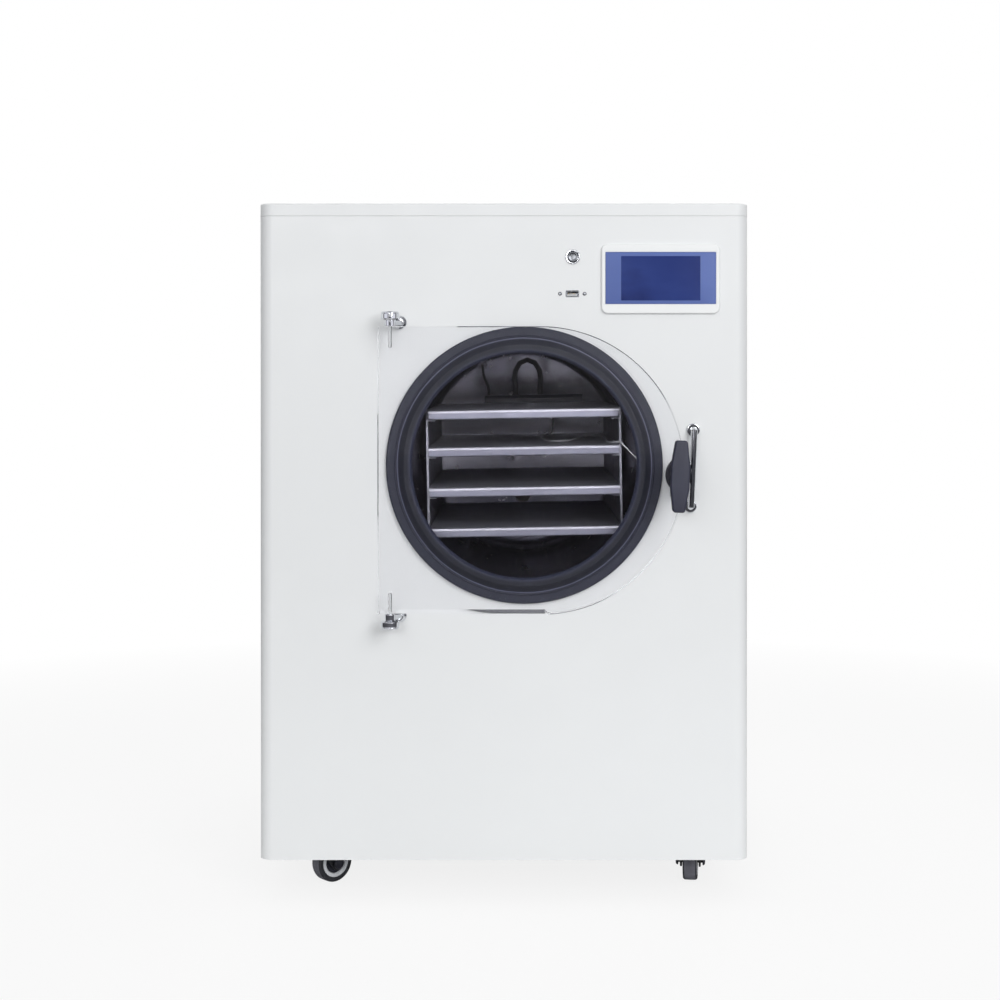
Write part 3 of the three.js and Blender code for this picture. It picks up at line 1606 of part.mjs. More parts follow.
// Down from the coil's last tail and over to the compressor.
function suctionLine() {
  const { x, y } = suctionPort;
  const endZ = coilTailZ - fit;
  const turnY = between(y, coilLastY, 0.43);
  const points = [
    [x, y, lineStartZ],
    [x, y, lineStartZ + lineRise],
    [x - lineArch / 2, turnY, endZ - 1.1 * lineArch],
    [chamberX + lineArch / 2, turnY, endZ - lineArch],
    [chamberX, coilLastY, endZ - lineRise],
    [chamberX, coilLastY, endZ],
  ];
  return piece('suction_line', tube(points, suctionRadius, 6, 8), copper);
}

// ---------------------------------------------------------------- rear connections

// Pump connection: a pipe from the dished end to a clamp flange behind the cabinet.
function vacuumLine() {
  const start = portStubY + fit;
  const profile = [
    [portBore, start],
    [portFlangeRadius, start],
    [portFlangeRadius, portStubY + portFlangeThick / 2],
    [portPipeRadius, portStubY + portFlangeThick],
    [portPipeRadius, portRearY - portFlangeThick],
    [portFlangeRadius, portRearY - portFlangeThick / 2],
    [portFlangeRadius, portRearY],
    [portBore, portRearY],
    [portBore, start],
  ];
  return piece('vacuum_line', turnedY(profile, chamberX, portZ, 14), stainless);
}

const valveY = cabinetDepth + valveCentre;

// Drain tube from the chamber's lowest point to a ball valve behind the cabinet.
function drainValve() {
  const top = chamberZ - chamberOuter - fit;
  const points = [
    [chamberX, drainY, top],
    [chamberX, drainY, top - drainBend / 3],
    [chamberX, drainY, drainZ + drainBend],
    [chamberX, drainY + 0.2 * drainBend, drainZ + 0.3 * drainBend],
    [chamberX, drainY + 0.9 * drainBend, drainZ],
    [chamberX, drainY + 2 * drainBend, drainZ],
    [chamberX, cabinetDepth + 4, drainZ],
  ];
  const pipe = tube(points, drainRadius, 6, 9);
  const end = cabinetDepth + valveReach;
  const body = rodY(valveRadius, chamberX, drainZ, cabinetDepth + fit, end - spoutDepth + 1, 6);
  const spout = turnedY(
    [
      [0, end - spoutDepth],
      [spoutRadius, end - spoutDepth],
      [spoutRadius - 0.5, end],
      [spoutRadius - spoutWall, end],
      [spoutRadius - spoutWall, end - spoutDepth + 1],
      [0, end - spoutDepth + 1],
    ],
    chamberX, drainZ, 12,
  );
  const bore = rodY(spoutRadius - spoutWall, chamberX, drainZ, end - spoutDepth - 1, end + 1);
  const stem = rodZ(stemRadius, chamberX, valveY, drainZ + 5, drainZ + leverLift + leverThick + 2);
  return piece('drain_valve', cut(join(pipe, body, spout, stem), bore), chrome);
}

function drainLever() {
  const base = drainZ + leverLift;
  const grip = roundedRect(leverLength, leverWidth, leverWidth / 2 - 1, leverLength / 2 - 6, 0);
  const plate = flatPlate(grip, base, base + leverThick);
  const hole = rodZ(boreRadius(stemRadius), 0, 0, base - leverThick, base + 2 * leverThick);
  const lever = piece('drain_lever', cut(plate, hole), darkPlastic);
  lever.position.set(chamberX, valveY, 0);
  return lever;
}

function powerInlet() {
  const half = inletWidth / 2;
  const rise = inletHeight / 2;
  const body = block(
    inletX - half, inletX + half, rearInnerY - inletBodyDepth, cabinetDepth + 1, inletZ - rise, inletZ + rise,
  );
  const faceY = cabinetDepth + 3;
  const flange = block(
    inletX - inletFlangeWidth / 2, inletX + inletFlangeWidth / 2, cabinetDepth + fit, faceY,
    inletZ - inletFlangeHeight / 2, inletZ + inletFlangeHeight / 2,
  );
  const floorY = faceY - inletMouthDepth;
  const mouth = block(
    inletX - half + inletWall, inletX + half - inletWall, floorY, faceY + 5,
    inletZ - rise + inletWall, inletZ + rise - inletWall,
  );
  const pins = [-1, 0, 1].map((step) => {
    const x = inletX + step * inletPinSpread;
    const z = inletZ + (step === 0 ? inletPinRise : -inletPinRise);
    return block(
      x - inletPinWidth / 2, x + inletPinWidth / 2, floorY - 1, faceY - inletPinSetback,
      z - inletPinHeight / 2, z + inletPinHeight / 2,
    );
  });
  return piece('power_inlet', join(cut(join(body, flange), mouth), ...pins), darkPlastic);
}

// ---------------------------------------------------------------- casters

function casterPlate(name) {
  const half = plateSize / 2;
  const raceBottom = forkTop + fit;
  const headZ = forkTop - forkSheet - fit;
  const plate = flatPlate(roundedRect(2 * half, 2 * half, 6), casterHeight - plateThick, casterHeight, 1);
  const race = turnedZ(
    [
      [0, headZ - kingPinHead],
      [kingPinRadius + 3, headZ - kingPinHead],
      [kingPinRadius + 3, headZ],
      [kingPinRadius, headZ],
      [kingPinRadius, raceBottom],
      [raceRadius, raceBottom],
      [raceRadius - 4, casterHeight - plateThick + 0.5],
      [0, casterHeight - plateThick + 0.5],
    ],
    0, 0, 8,
  );
  return piece(`caster_plate_${name}`, join(plate, race), galvanised);
}

// Bent sheet fork: a round crown, two tapered legs and the axle bolt through them.
function casterFork(name) {
  const legInside = wheelWidth / 2 + forkGap;
  const crownLow = forkTop - forkSheet;
  const crown = rodZ(crownRadius, 0, 0, crownLow, forkTop, 10);
  const leg = new THREE.Shape();
  leg.moveTo(-crownRadius * 0.7, forkTop - 0.4);
  leg.lineTo(casterTrail - forkLegRadius, wheelRadius - 2);
  leg.absarc(casterTrail, wheelRadius, forkLegRadius, -Math.PI * 0.9, 0);
  leg.lineTo(crownRadius * 0.9, forkTop - 0.4);
  const legs = [-1, 1].map((side) => {
    const y = side > 0 ? legInside : -legInside - forkSheet;
    return uprightPlate(leg, y, y + forkSheet, { curveSegments: 2 });
  });
  const axleHalf = legInside + forkSheet + 2.5;
  const axle = rodY(axleRadius, casterTrail, wheelRadius, -axleHalf, axleHalf, 8);
  const hole = rodZ(boreRadius(kingPinRadius, 8), 0, 0, crownLow - 5, forkTop + 5, 8);
  return piece(`caster_fork_${name}`, cut(join(crown, ...legs, axle), hole), blackPaint);
}

function casterWheel(name) {
  const rim = wheelRadius / Math.cos(Math.PI / wheelSides);
  const bore = boreRadius(axleRadius, wheelSides);
  const half = wheelWidth / 2;
  const profile = [
    [bore, -half],
    [rim - wheelRound, -half],
    [rim, -half + wheelRound],
    [rim, half - wheelRound],
    [rim - wheelRound, half],
    [bore, half],
    [bore, -half],
  ];
  const wheel = piece(
    `caster_wheel_${name}`,
    turnedY(profile, 0, 0, wheelSides, Math.PI / wheelSides),
    blackRubber,
  );
  wheel.position.set(casterTrail, 0, wheelRadius);
  return wheel;
}

function caster({ name, side, end, heading }) {
  const group = new THREE.Group();
  const x = side * (cabinetWidth / 2 - casterInset);
  const y = end === 0 ? casterSetback : cabinetDepth - casterSetback;
  group.position.set(x, y, 0);
  const swivel = new THREE.Group();
  swivel.rotation.z = heading;
  swivel.add(casterFork(name), casterWheel(name));
  group.add(casterPlate(name), swivel);
  return group;
}

// ---------------------------------------------------------------- assembly

const machine = new THREE.Group();
machine.add(
  cabinetShell(), topLid(), rearPanel(), basePan(),
  cradle('cradle_front', cradleFrontY, 1), cradle('cradle_rear', cradleRearY, -1),
  vacuumChamber(), evaporatorCoil(), insulationJacket(), doorSeal(),
  rack(), probeLead(), probeNeedle(),
  hingePost('hinge_post_upper', 1), hingePost('hinge_post_lower', -1),
  hingePin('hinge_pin_upper', 1), hingePin('hinge_pin_lower', -1),
  doorPanel(), latchHousing(), latchTurningParts(), latchStrike(),
  screenBezel(), screenGlass(), buttonRing(), powerButton(), dataSocket(), controlBox(),
  compressor(), condenser(), fanShroud(), fanRotor(), filterDrier(),
  dischargeLine(), liquidLine(), suctionLine(),
  vacuumLine(), drainValve(), drainLever(), powerInlet(),
);
casters.forEach((setting) => machine.add(caster(setting)));

const group = new THREE.Group();
group.add(machine);
machine.position.y = -middleY;

export default group;
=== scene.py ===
import json
import math

import bmesh
import bpy
from mathutils import Matrix, Vector

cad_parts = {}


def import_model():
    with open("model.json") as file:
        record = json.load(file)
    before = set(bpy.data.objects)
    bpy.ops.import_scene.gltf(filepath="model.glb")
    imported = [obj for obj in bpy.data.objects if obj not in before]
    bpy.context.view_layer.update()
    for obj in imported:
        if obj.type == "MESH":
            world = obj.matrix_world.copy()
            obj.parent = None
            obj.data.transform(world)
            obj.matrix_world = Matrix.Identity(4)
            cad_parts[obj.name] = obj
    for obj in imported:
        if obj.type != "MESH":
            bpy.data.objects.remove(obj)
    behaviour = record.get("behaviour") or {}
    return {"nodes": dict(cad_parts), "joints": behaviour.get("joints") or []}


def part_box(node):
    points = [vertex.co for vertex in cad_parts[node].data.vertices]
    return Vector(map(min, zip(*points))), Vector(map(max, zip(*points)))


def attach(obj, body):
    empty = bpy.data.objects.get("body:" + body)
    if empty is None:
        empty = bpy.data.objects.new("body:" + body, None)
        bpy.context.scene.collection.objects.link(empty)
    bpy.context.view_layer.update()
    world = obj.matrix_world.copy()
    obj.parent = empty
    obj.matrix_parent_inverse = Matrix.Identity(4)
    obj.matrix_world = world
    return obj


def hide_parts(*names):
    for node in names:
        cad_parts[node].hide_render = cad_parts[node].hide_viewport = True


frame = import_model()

MM = 0.001
SIDES = (-1, 1)
joints = {joint["name"]: joint for joint in frame["joints"]}

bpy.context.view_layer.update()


# ---------------- measures from the CAD


def middle(node):
    lo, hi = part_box(node)
    return (lo + hi) / 2


shell_lo, shell_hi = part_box("cabinet_shell")
lid_lo, lid_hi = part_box("top_lid")
seal_lo, seal_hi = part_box("door_seal")
door_lo, door_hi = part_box("door_panel")
panel_y = shell_lo.y
axis = Vector((middle("door_seal").x, 0, middle("door_seal").z))
hinge = Vector(joints["door_swing"]["pos_m"])
latch = Vector(joints["latch_turn"]["pos_m"])
SHEET = 1.5 * MM
EDGE_RADIUS = 16


def Y(depth):
    """Row y of a depth in millimetres behind the front panel's outer face."""
    return panel_y + depth * MM


def on_panel(x, z):
    return (x, panel_y, z)


def mm(*points):
    """Points given in millimetres."""
    return [tuple(value * MM for value in point) for point in points]


def add_object(name, data):
    obj = bpy.data.objects.new(name, data)
    bpy.context.scene.collection.objects.link(obj)
    return obj


# ---------------- camera, fitted to the photo's key points

cam_data = bpy.data.cameras.new("camera")
cam = add_object("camera", cam_data)
cam.location = (0.0145, -2.505, 0.639)
cam.rotation_euler = (math.radians(89.71), 0, 0)
cam_data.sensor_width = 36
cam_data.lens = 65.74
cam_data.shift_x = -0.0158
cam_data.shift_y = -0.1206
bpy.context.scene.camera = cam
bpy.context.scene.view_settings.view_transform = "Standard"


# ---------------- outlines


def steps_between(start, end, count):
    return [start + (end - start) * k / count for k in range(count + 1)]


def fillet(points, steps=5, closed=True):
    """Polygon with its corners rounded. A point is (u, v) or (u, v, radius)."""
    made = []
    count = len(points)
    for i, point in enumerate(points):
        radius = point[2] if len(point) > 2 else 0
        here = Vector(point[:2])
        is_end = not closed and i in (0, count - 1)
        if radius <= 0 or is_end:
            made.append((here.x, here.y))
            continue
        before = (Vector(points[i - 1][:2]) - here).normalized()
        after = (Vector(points[(i + 1) % count][:2]) - here).normalized()
        half = before.angle(after) / 2
        reach = radius / math.tan(half)
        centre = here + (before + after).normalized() * (radius / math.sin(half))
        start = here + before * reach - centre
        end = here + after * reach - centre
        sweep = math.pi - 2 * half
        turn = 1 if start.x * end.y - start.y * end.x > 0 else -1
        for k in range(steps + 1):
            angle = turn * sweep * k / steps
            c, s = math.cos(angle), math.sin(angle)
            made.append((centre.x + start.x * c - start.y * s, centre.y + start.x * s + start.y * c))
    return made


def rectangle(u, v, width, height, radius, steps=6):
    """Rounded rectangle about a place in metres, with its sizes in millimetres."""
    w, h, radius = width * MM / 2, height * MM / 2, radius * MM
    corners = [(u - w, v - h), (u + w, v - h), (u + w, v + h), (u - w, v + h)]
    return fillet([(*corner, radius) for corner in corners], steps)


def ring(u, v, radius, sides=48):
    angles = [2 * math.pi * k / sides for k in range(sides)]
    return [(u + radius * math.cos(a), v + radius * math.sin(a)) for a in angles]


def rod(radius, start, end):
    """Profile of a plain round rod, in millimetres."""
    return mm((0, start), (radius, start), (radius, end), (0, end))


def inset(loop, distance):
    """The outline moved inwards by a distance, point by point."""
    area = sum(a[0] * b[1] - b[0] * a[1] for a, b in zip(loop, loop[1:] + loop[:1]))
    side = 1 if area > 0 else -1
    moved = []
    for i, point in enumerate(loop):
        here = Vector(point)
        a = (here - Vector(loop[i - 1])).normalized()
        b = (Vector(loop[(i + 1) % len(loop)]) - here).normalized()
        mid = (Vector((-a.y, a.x)) + Vector((-b.y, b.x))) * side
        moved.append(tuple(here + mid * 2 / max(mid.length_squared, 0.5) * distance))
    return moved


def smooth_line(points, steps):
    """Catmull-Rom line through the points."""
    points = [Vector(p) for p in points]
    padded = [points[0] * 2 - points[1], *points, points[-1] * 2 - points[-2]]
    line = []
    for i in range(1, len(padded) - 2):
        a, b, c, d = padded[i - 1 : i + 3]
        for k in range(steps):
            t = k / steps
            line.append(0.5 * (
                2 * b + (c - a) * t + (2 * a - 5 * b + 4 * c - d) * t**2 + (3 * b - a - 3 * c + d) * t**3
            ))
    line.append(points[-1])
    return line


# ---------------- solids

BACKWARD = (0, 1, 0)
FRONT = lambda u, v, w: Vector((u, w, v))  # outline in x and z, depth along y
FLAT = lambda u, v, w: Vector((u, v, w))  # outline in x and y, depth along z


def later(make):
    """Makes a builder out of a function on a mesh: piece, weld and carve hand it the mesh."""
    return lambda *values, **named: lambda bm: make(bm, *values, **named)


def together(builders):
    def build(bm):
        for each in builders:
            each(bm)

    return build


@later
def loft(bm, loops):
    """Skin through loops of equal length, closed with end faces."""
    rows = [[bm.verts.new(p) for p in loop] for loop in loops]
    count = len(rows[0])
    for a, b in zip(rows, rows[1:]):
        for i in range(count):
            j = (i + 1) % count
            bm.faces.new((a[i], a[j], b[j], b[i]))
    bm.faces.new(rows[0])
    bm.faces.new(rows[-1])


@later
def slab(bm, loop, start, end, place, soft_start=0, soft_end=0, steps=3, crown=0):
    """Prism on an outline. Its rounded edges and its crown are in millimetres."""
    sign = 1 if end > start else -1
    turns = [math.pi / 2 * k / steps for k in range(steps + 1)]
    soft_start, soft_end = soft_start * MM, soft_end * MM
    rims = [(0, start)]
    if soft_start:
        rims = [
            (soft_start * (1 - math.sin(t)), start + sign * soft_start * (1 - math.cos(t))) for t in turns
        ]
    if soft_end:
        rims += [(soft_end * (1 - math.cos(t)), end - sign * soft_end * (1 - math.sin(t))) for t in turns]
    else:
        rims.append((0, end))
    loops = [[place(u, v, depth) for u, v in (inset(loop, drop) if drop else loop)] for drop, depth in rims]
    if crown:
        inner = inset(loop, soft_end)
        cu = sum(p[0] for p in inner) / len(inner)
        cv = sum(p[1] for p in inner) / len(inner)
        for share in (0.85, 0.6, 0.3):
            top = end + sign * crown * MM * (1 - share**2)
            loops.append([place(cu + (u - cu) * share, cv + (v - cv) * share, top) for u, v in inner])
    loft(loops)(bm)


@later
def turned(bm, profile, origin, direction, sides=64, soft=4):
    """Solid of revolution. The profile holds (radius, distance, fillet) along the direction.
    It starts and ends on the axis, or closes on itself."""
    on_axis = profile[0][0] == 0
    line = fillet(profile, soft, closed=not on_axis)
    along = Vector(direction).normalized()
    turn = along.to_track_quat("Z", "Y").to_matrix()
    rows = []
    for radius, distance in line:
        centre = Vector(origin) + along * distance
        if radius == 0:
            rows.append([bm.verts.new(centre)])
        else:
            spokes = ring(0, 0, radius, sides)
            rows.append([bm.verts.new(centre + turn @ Vector((*spoke, 0))) for spoke in spokes])
    if not on_axis:
        rows.append(rows[0])
    for a, b in zip(rows, rows[1:]):
        for i in range(sides):
            j = (i + 1) % sides
            corners = [a[i % len(a)], a[j % len(a)], b[j % len(b)], b[i % len(b)]]
            bm.faces.new(list(dict.fromkeys(corners)))


@later
def swept(bm, points, radius, sides, steps):
    """Round bar along a smooth line through the points."""
    line = smooth_line(points, steps)
    up = Vector((0.31, 0.17, 0.93))
    loops = []
    for i, here in enumerate(line):
        ahead = line[min(i + 1, len(line) - 1)] - line[max(i - 1, 0)]
        ahead.normalize()
        a = ahead.cross(up).normalized()
        b = ahead.cross(a).normalized()
        loops.append([here + a * u + b * v for u, v in ring(0, 0, radius, sides)])
        up = -b
    loft(loops)(bm)


def mesh_of(name, builders):
    bm = bmesh.new()
    together(builders)(bm)
    bmesh.ops.remove_doubles(bm, verts=bm.verts, dist=1e-7)
    bmesh.ops.dissolve_degenerate(bm, edges=bm.edges, dist=1e-8)
    bmesh.ops.recalc_face_normals(bm, faces=bm.faces)
    mesh = bpy.data.meshes.new(name)
    bm.to_mesh(mesh)
    bm.free()
    return mesh


def shade(obj, sharp):
    for polygon in obj.data.polygons:
        polygon.use_smooth = True
    obj.data.set_sharp_from_angle(angle=math.radians(sharp))
    obj.modifiers.new("normals", "WEIGHTED_NORMAL").keep_sharp = True


def piece(name, builders, finish, stands_for=None, body="cabinet", sharp=32):
    """Object from one or more builders, riding on a body of the CAD."""
    obj = add_object(name, mesh_of(name, builders if isinstance(builders, list) else [builders]))
    obj.data.materials.append(finish.mat)
    shade(obj, sharp)
    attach(obj, body)
    if stands_for:
        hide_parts(stands_for)
    return obj


def combine(obj, builders, operation, sharp):
    """Joins the solids that the builders make to the object's mesh, or cuts them out of it."""
    obj.modifiers.clear()
    tools = [add_object("tool", mesh_of("tool", [build])) for build in builders]
    for tool in tools:
        modifier = obj.modifiers.new("tool", "BOOLEAN")
        modifier.operation = operation
        modifier.solver = "EXACT"
        modifier.object = tool
    bpy.context.view_layer.update()
    evaluated = obj.evaluated_get(bpy.context.evaluated_depsgraph_get())
    mesh = bpy.data.meshes.new_from_object(evaluated)
    obj.modifiers.clear()
    obj.data = mesh
    for tool in tools:
        bpy.data.objects.remove(tool)
    shade(obj, sharp)


def carve(obj, *builders):
    combine(obj, builders, "DIFFERENCE", 32)


def weld(obj, *builders, sharp=32):
    combine(obj, builders, "UNION", sharp)


def soften(obj, width):
    """Small rounded edges, ahead of the normals."""
    obj.modifiers.clear()
    bevel = obj.modifiers.new("edges", "BEVEL")
    bevel.width = width
    bevel.segments = 2
    bevel.limit_method = "ANGLE"
    bevel.angle_limit = math.radians(40)
    shade(obj, 32)


# ---------------- materials


def srgb(red, green, blue):
    def linear(c):
        c /= 255
        return c / 12.92 if c <= 0.04045 else ((c + 0.055) / 1.055) ** 2.4

    return (linear(red), linear(green), linear(blue), 1)


class Nodes:
    """Short calls for a node tree. A socket takes a number, a colour or another node's output."""

    def __init__(self, owner, clear=False):
        owner.use_nodes = True
        self.tree = owner.node_tree
        if clear:
            self.tree.nodes.clear()

    def put(self, socket, value):
        if isinstance(value, bpy.types.NodeSocket):
            self.tree.links.new(value, socket)
        else:
            socket.default_value = value

    def add(self, kind, inputs={}, **settings):
        made = self.tree.nodes.new("ShaderNode" + kind)
        for key, value in settings.items():
            setattr(made, key, value)
        for socket, value in inputs.items():
            self.put(made.inputs[socket], value)
        return made

    def math(self, operation, *values):
        return self.add("Math", dict(enumerate(values)), operation=operation).outputs[0]

    def mix(self, factor, first, second):
        return self.add("MixShader", {0: factor, 1: first, 2: second}).outputs[0]

    def length(self, vector):
        return self.add("VectorMath", {0: vector}, operation="LENGTH").outputs["Value"]

    def spread(self, value, low, high, start=0.3, end=0.7):
        """The value's range from start to end, mapped to low to high."""
        inputs = {"From Min": start, "From Max": end, "To Min": low, "To Max": high, "Value": value}
        return self.add("MapRange", inputs).outputs["Result"]

    def tones(self, value, *stops):
        made = self.add("ValToRGB", {"Fac": value})
        elements = made.color_ramp.elements
        for element, (position, color) in zip(elements, (stops[0], stops[-1])):
            element.position = position
            element.color = color
        for position, color in stops[1:-1]:
            elements.new(position).color = color
        return made.outputs["Color"]


class Finish(Nodes):
    """A Principled material whose sockets are driven by textures in the object's own metres."""

    def __init__(self, name, color, rough=0.5, metal=0.0):
        self.mat = bpy.data.materials.new(name)
        super().__init__(self.mat)
        self.shader = self.tree.nodes["Principled BSDF"]
        self.set("Base Color", color).set("Roughness", rough).set("Metallic", metal)
        self.place = self.add("TexCoord").outputs["Object"]
        self.normal = None

    def set(self, socket, value):
        self.put(self.shader.inputs[socket], value)
        return self

    def scaled(self, stretch):
        return self.add("Mapping", {"Scale": stretch, "Vector": self.place}).outputs["Vector"]

    def noise(self, scale, detail=3.0, stretch=(1, 1, 1)):
        inputs = {"Scale": scale, "Detail": detail, "Roughness": 0.5, "Vector": self.scaled(stretch)}
        return self.add("TexNoise", inputs).outputs["Fac"]

    def color(self, value, *stops):
        return self.set("Base Color", self.tones(value, *stops))

    def rough(self, value, low, high):
        return self.set("Roughness", self.spread(value, low, high))

    def bump(self, value, depth, strength=1.0):
        made = self.add("Bump", {"Distance": depth, "Strength": strength, "Height": value})
        if self.normal:
            self.put(made.inputs["Normal"], self.normal)
        self.normal = made.outputs["Normal"]
        return self.set("Normal", self.normal)


def varied(name, dark, light, rough, metal, patches, grain, depth, stretch=(1, 1, 1)):
    """Two close tones in patches, uneven gloss and a fine grain whose depth is in micrometres."""
    dark, light = srgb(*dark), srgb(*light)
    made = Finish(name, light, rough[0], metal)
    made.color(made.noise(patches, 4, stretch), (0.3, dark), (0.7, light))
    made.rough(made.noise(patches * 9, 3, stretch), *rough)
    made.bump(made.noise(grain, 2, stretch), depth * 1e-6)
    return made


powder = varied("powder_coat", (229, 231, 232), (233, 235, 236), (0.36, 0.46), 0, 2.5, 1400, 30)
bezel_paint = varied("bezel_plastic", (234, 236, 237), (238, 240, 240), (0.32, 0.4), 0, 9, 2500, 10)
galvanised = varied("galvanised_steel", (178, 181, 184), (190, 193, 196), (0.42, 0.56), 1, 55, 700, 10)
spangle = galvanised.add("TexVoronoi", {"Scale": 110, "Vector": galvanised.scaled((1, 1, 0.7))})
galvanised.color(spangle.outputs["Distance"], (0.1, srgb(184, 187, 190)), (0.8, srgb(196, 199, 202)))
vessel_steel = varied(
    "vessel_steel", (208, 206, 214), (226, 224, 232), (0.18, 0.28), 1, 7, 900, 2, (1, 0.25, 1)
)
rack_steel = varied("rack_steel", (128, 127, 138), (146, 146, 156), (0.34, 0.44), 1, 12, 700, 2, (1, 0.2, 1))
shelf_metal = varied(
    "shelf_aluminium", (170, 170, 180), (182, 182, 192), (0.42, 0.5), 1, 14, 900, 4, (0.15, 1, 1)
)
chrome = varied("chrome", (214, 216, 220), (226, 228, 232), (0.04, 0.11), 1, 40, 500, 2)
bright_steel = varied("bright_steel", (176, 178, 182), (196, 198, 202), (0.18, 0.3), 1, 60, 1800, 4)
button_steel = varied("button_steel", (112, 114, 118), (130, 132, 136), (0.22, 0.32), 1, 60, 1800, 4)
copper = varied("copper_tube", (170, 100, 66), (200, 128, 92), (0.22, 0.38), 1, 22, 600, 10)


def seal_rubber():
    """Slate rubber with painted light: painted shade darkens the crest and inner lip, and a painted
    highlight lightens the inner edge and draws a pale line at about 152 mm radius; a faint grain.
    """
    made = Finish("seal_rubber", srgb(50, 52, 66), 0.45)
    inputs = {0: made.place, 1: (1, 0, 1), 2: (-axis.x, 0, -axis.z)}
    offset = made.add("VectorMath", inputs, operation="MULTIPLY_ADD").outputs[0]
    waver = 1.2 * MM
    # Radius with a little waver, which places the painted shade and painted highlight bands.
    painted_band_radius = made.math("MULTIPLY_ADD", made.noise(34, 4), waver, made.length(offset))
    # Tones by radius, all painted light: a painted highlight at the inner edge, painted shade from 141 to
    # 152 mm, a pale painted highlight line from 152.5 to 153 mm, then the plain flange.
    made.color(
        made.spread(painted_band_radius, 0, 1, 0.1375, 0.161),
        (0.0, srgb(44, 47, 66)), (0.16, srgb(22, 24, 36)), (0.52, srgb(24, 26, 38)),
        (0.625, srgb(34, 36, 50)), (0.64, srgb(98, 100, 122)), (0.665, srgb(98, 100, 122)),
        (0.68, srgb(40, 42, 56)), (1.0, srgb(44, 46, 60)),
    )
    made.rough(made.noise(90, 3), 0.42, 0.54)
    made.set("Specular IOR Level", 0.3)
    return made.bump(made.noise(1600, 2), 0.00002)


rubber = seal_rubber()
foam = varied("foam_sleeve", (38, 40, 44), (50, 52, 56), (0.85, 0.95), 0, 20, 260, 300)
dark_plastic = varied("dark_plastic", (38, 40, 57), (47, 49, 66), (0.36, 0.46), 0, 30, 2200, 10)
housing_plastic = varied("housing_plastic", (22, 24, 36), (30, 31, 44), (0.3, 0.42), 0, 30, 2200, 10)
black_paint = varied("black_paint", (24, 25, 28), (36, 37, 41), (0.34, 0.46), 0, 18, 900, 20)
cable_rubber = varied("cable_jacket", (24, 24, 28), (38, 38, 42), (0.45, 0.58), 0, 60, 1500, 20)
tyre_rubber = varied("tyre_rubber", (34, 35, 40), (52, 53, 59), (0.38, 0.55), 0, 40, 900, 30)
rim_plastic = varied("rim_plastic", (226, 229, 234), (238, 240, 244), (0.4, 0.5), 0, 50, 900, 10)
sleeve_plastic = varied("sleeve_plastic", (206, 210, 211), (216, 219, 220), (0.5, 0.6), 0, 60, 1500, 10)
# Tread lighter than the tyre's sides: painted light on the running surface.
tread_painted_light = varied("tread_painted_light", (96, 96, 104), (118, 118, 127), (0.55, 0.7), 0, 60, 1200, 40)
# A darker copy of the shelf metal: painted shade on the pan's face under the plate's rounded nose.
pan_metal_painted_shade = varied("shelf_pan_painted_shade", (124, 124, 138), (140, 140, 154), (0.42, 0.5), 1, 14, 900, 4, (0.15, 1, 1))
socket_insert = varied("socket_insert", (196, 198, 198), (210, 212, 212), (0.4, 0.5), 0, 90, 1500, 10)
gold = varied("contact_metal", (190, 160, 96), (214, 186, 124), (0.2, 0.3), 1, 80, 1500, 4)


def clear_acrylic():
    """Glass that lets lamps and scattered light through, so that the door casts no dark shadow."""
    made = Finish("clear_acrylic", srgb(254, 254, 255), 0.01)
    made.set("Transmission Weight", 1.0).set("IOR", 1.49)
    made.rough(made.noise(14, 3), 0.0, 0.02)
    made.bump(made.noise(5, 2), 0.00002, 0.4)
    path = made.add("LightPath").outputs
    passing = made.math("MAXIMUM", path["Is Shadow Ray"], path["Is Diffuse Ray"])
    open_air = made.add("BsdfTransparent", {"Color": (0.995, 0.995, 1, 1)}).outputs[0]
    surface = made.mix(passing, made.shader.outputs[0], open_air)
    made.put(made.tree.nodes["Material Output"].inputs["Surface"], surface)
    return made


def display(name, corner, far_corner, upper):
    """Dark glass over a display, a little darker towards its lower left."""
    made = Finish(name, far_corner, 0.12)
    patches = made.noise(26, 2, (1, 1, 1.6))
    slope = made.add("SeparateXYZ", {0: made.scaled((4.2, 0, 6.0))}).outputs
    rise = made.math("ADD", slope["X"], slope["Z"])
    uneven = made.math("MULTIPLY_ADD", patches, 0.5, rise)
    made.color(made.spread(uneven, 0, 1, 5.0, 5.8), (0.0, corner), (0.55, upper), (1.0, far_corner))
    made.set("Coat Weight", 0.6).set("Coat Roughness", 0.05)
    return made.bump(made.noise(1200, 2), 0.000002)


def braid():
    """Woven steel wires round the probe's lead."""
    made = Finish("lead_braid", srgb(226, 226, 232), 0.5, 0.25)
    inputs = {"Scale": 620, "Distortion": 1.5, "Vector": made.place}
    weave = made.add("TexWave", inputs, wave_type="BANDS", bands_direction="DIAGONAL").outputs["Fac"]
    made.color(weave, (0.2, srgb(176, 176, 184)), (0.7, srgb(240, 240, 246)))
    return made.bump(weave, 0.0002)


acrylic = clear_acrylic()
sintered = varied("sintered_disc", (96, 92, 88), (128, 122, 116), (0.7, 0.85), 1, 400, 900, 300)
border_glass = display("display_border", srgb(86, 104, 165), srgb(100, 120, 183), srgb(93, 112, 174))
active_glass = display("display_active", srgb(6, 16, 74), srgb(28, 48, 116), srgb(38, 58, 126))
braided = braid()


# ---------------- probe lead

LEAD_RADIUS = 1.3 * MM
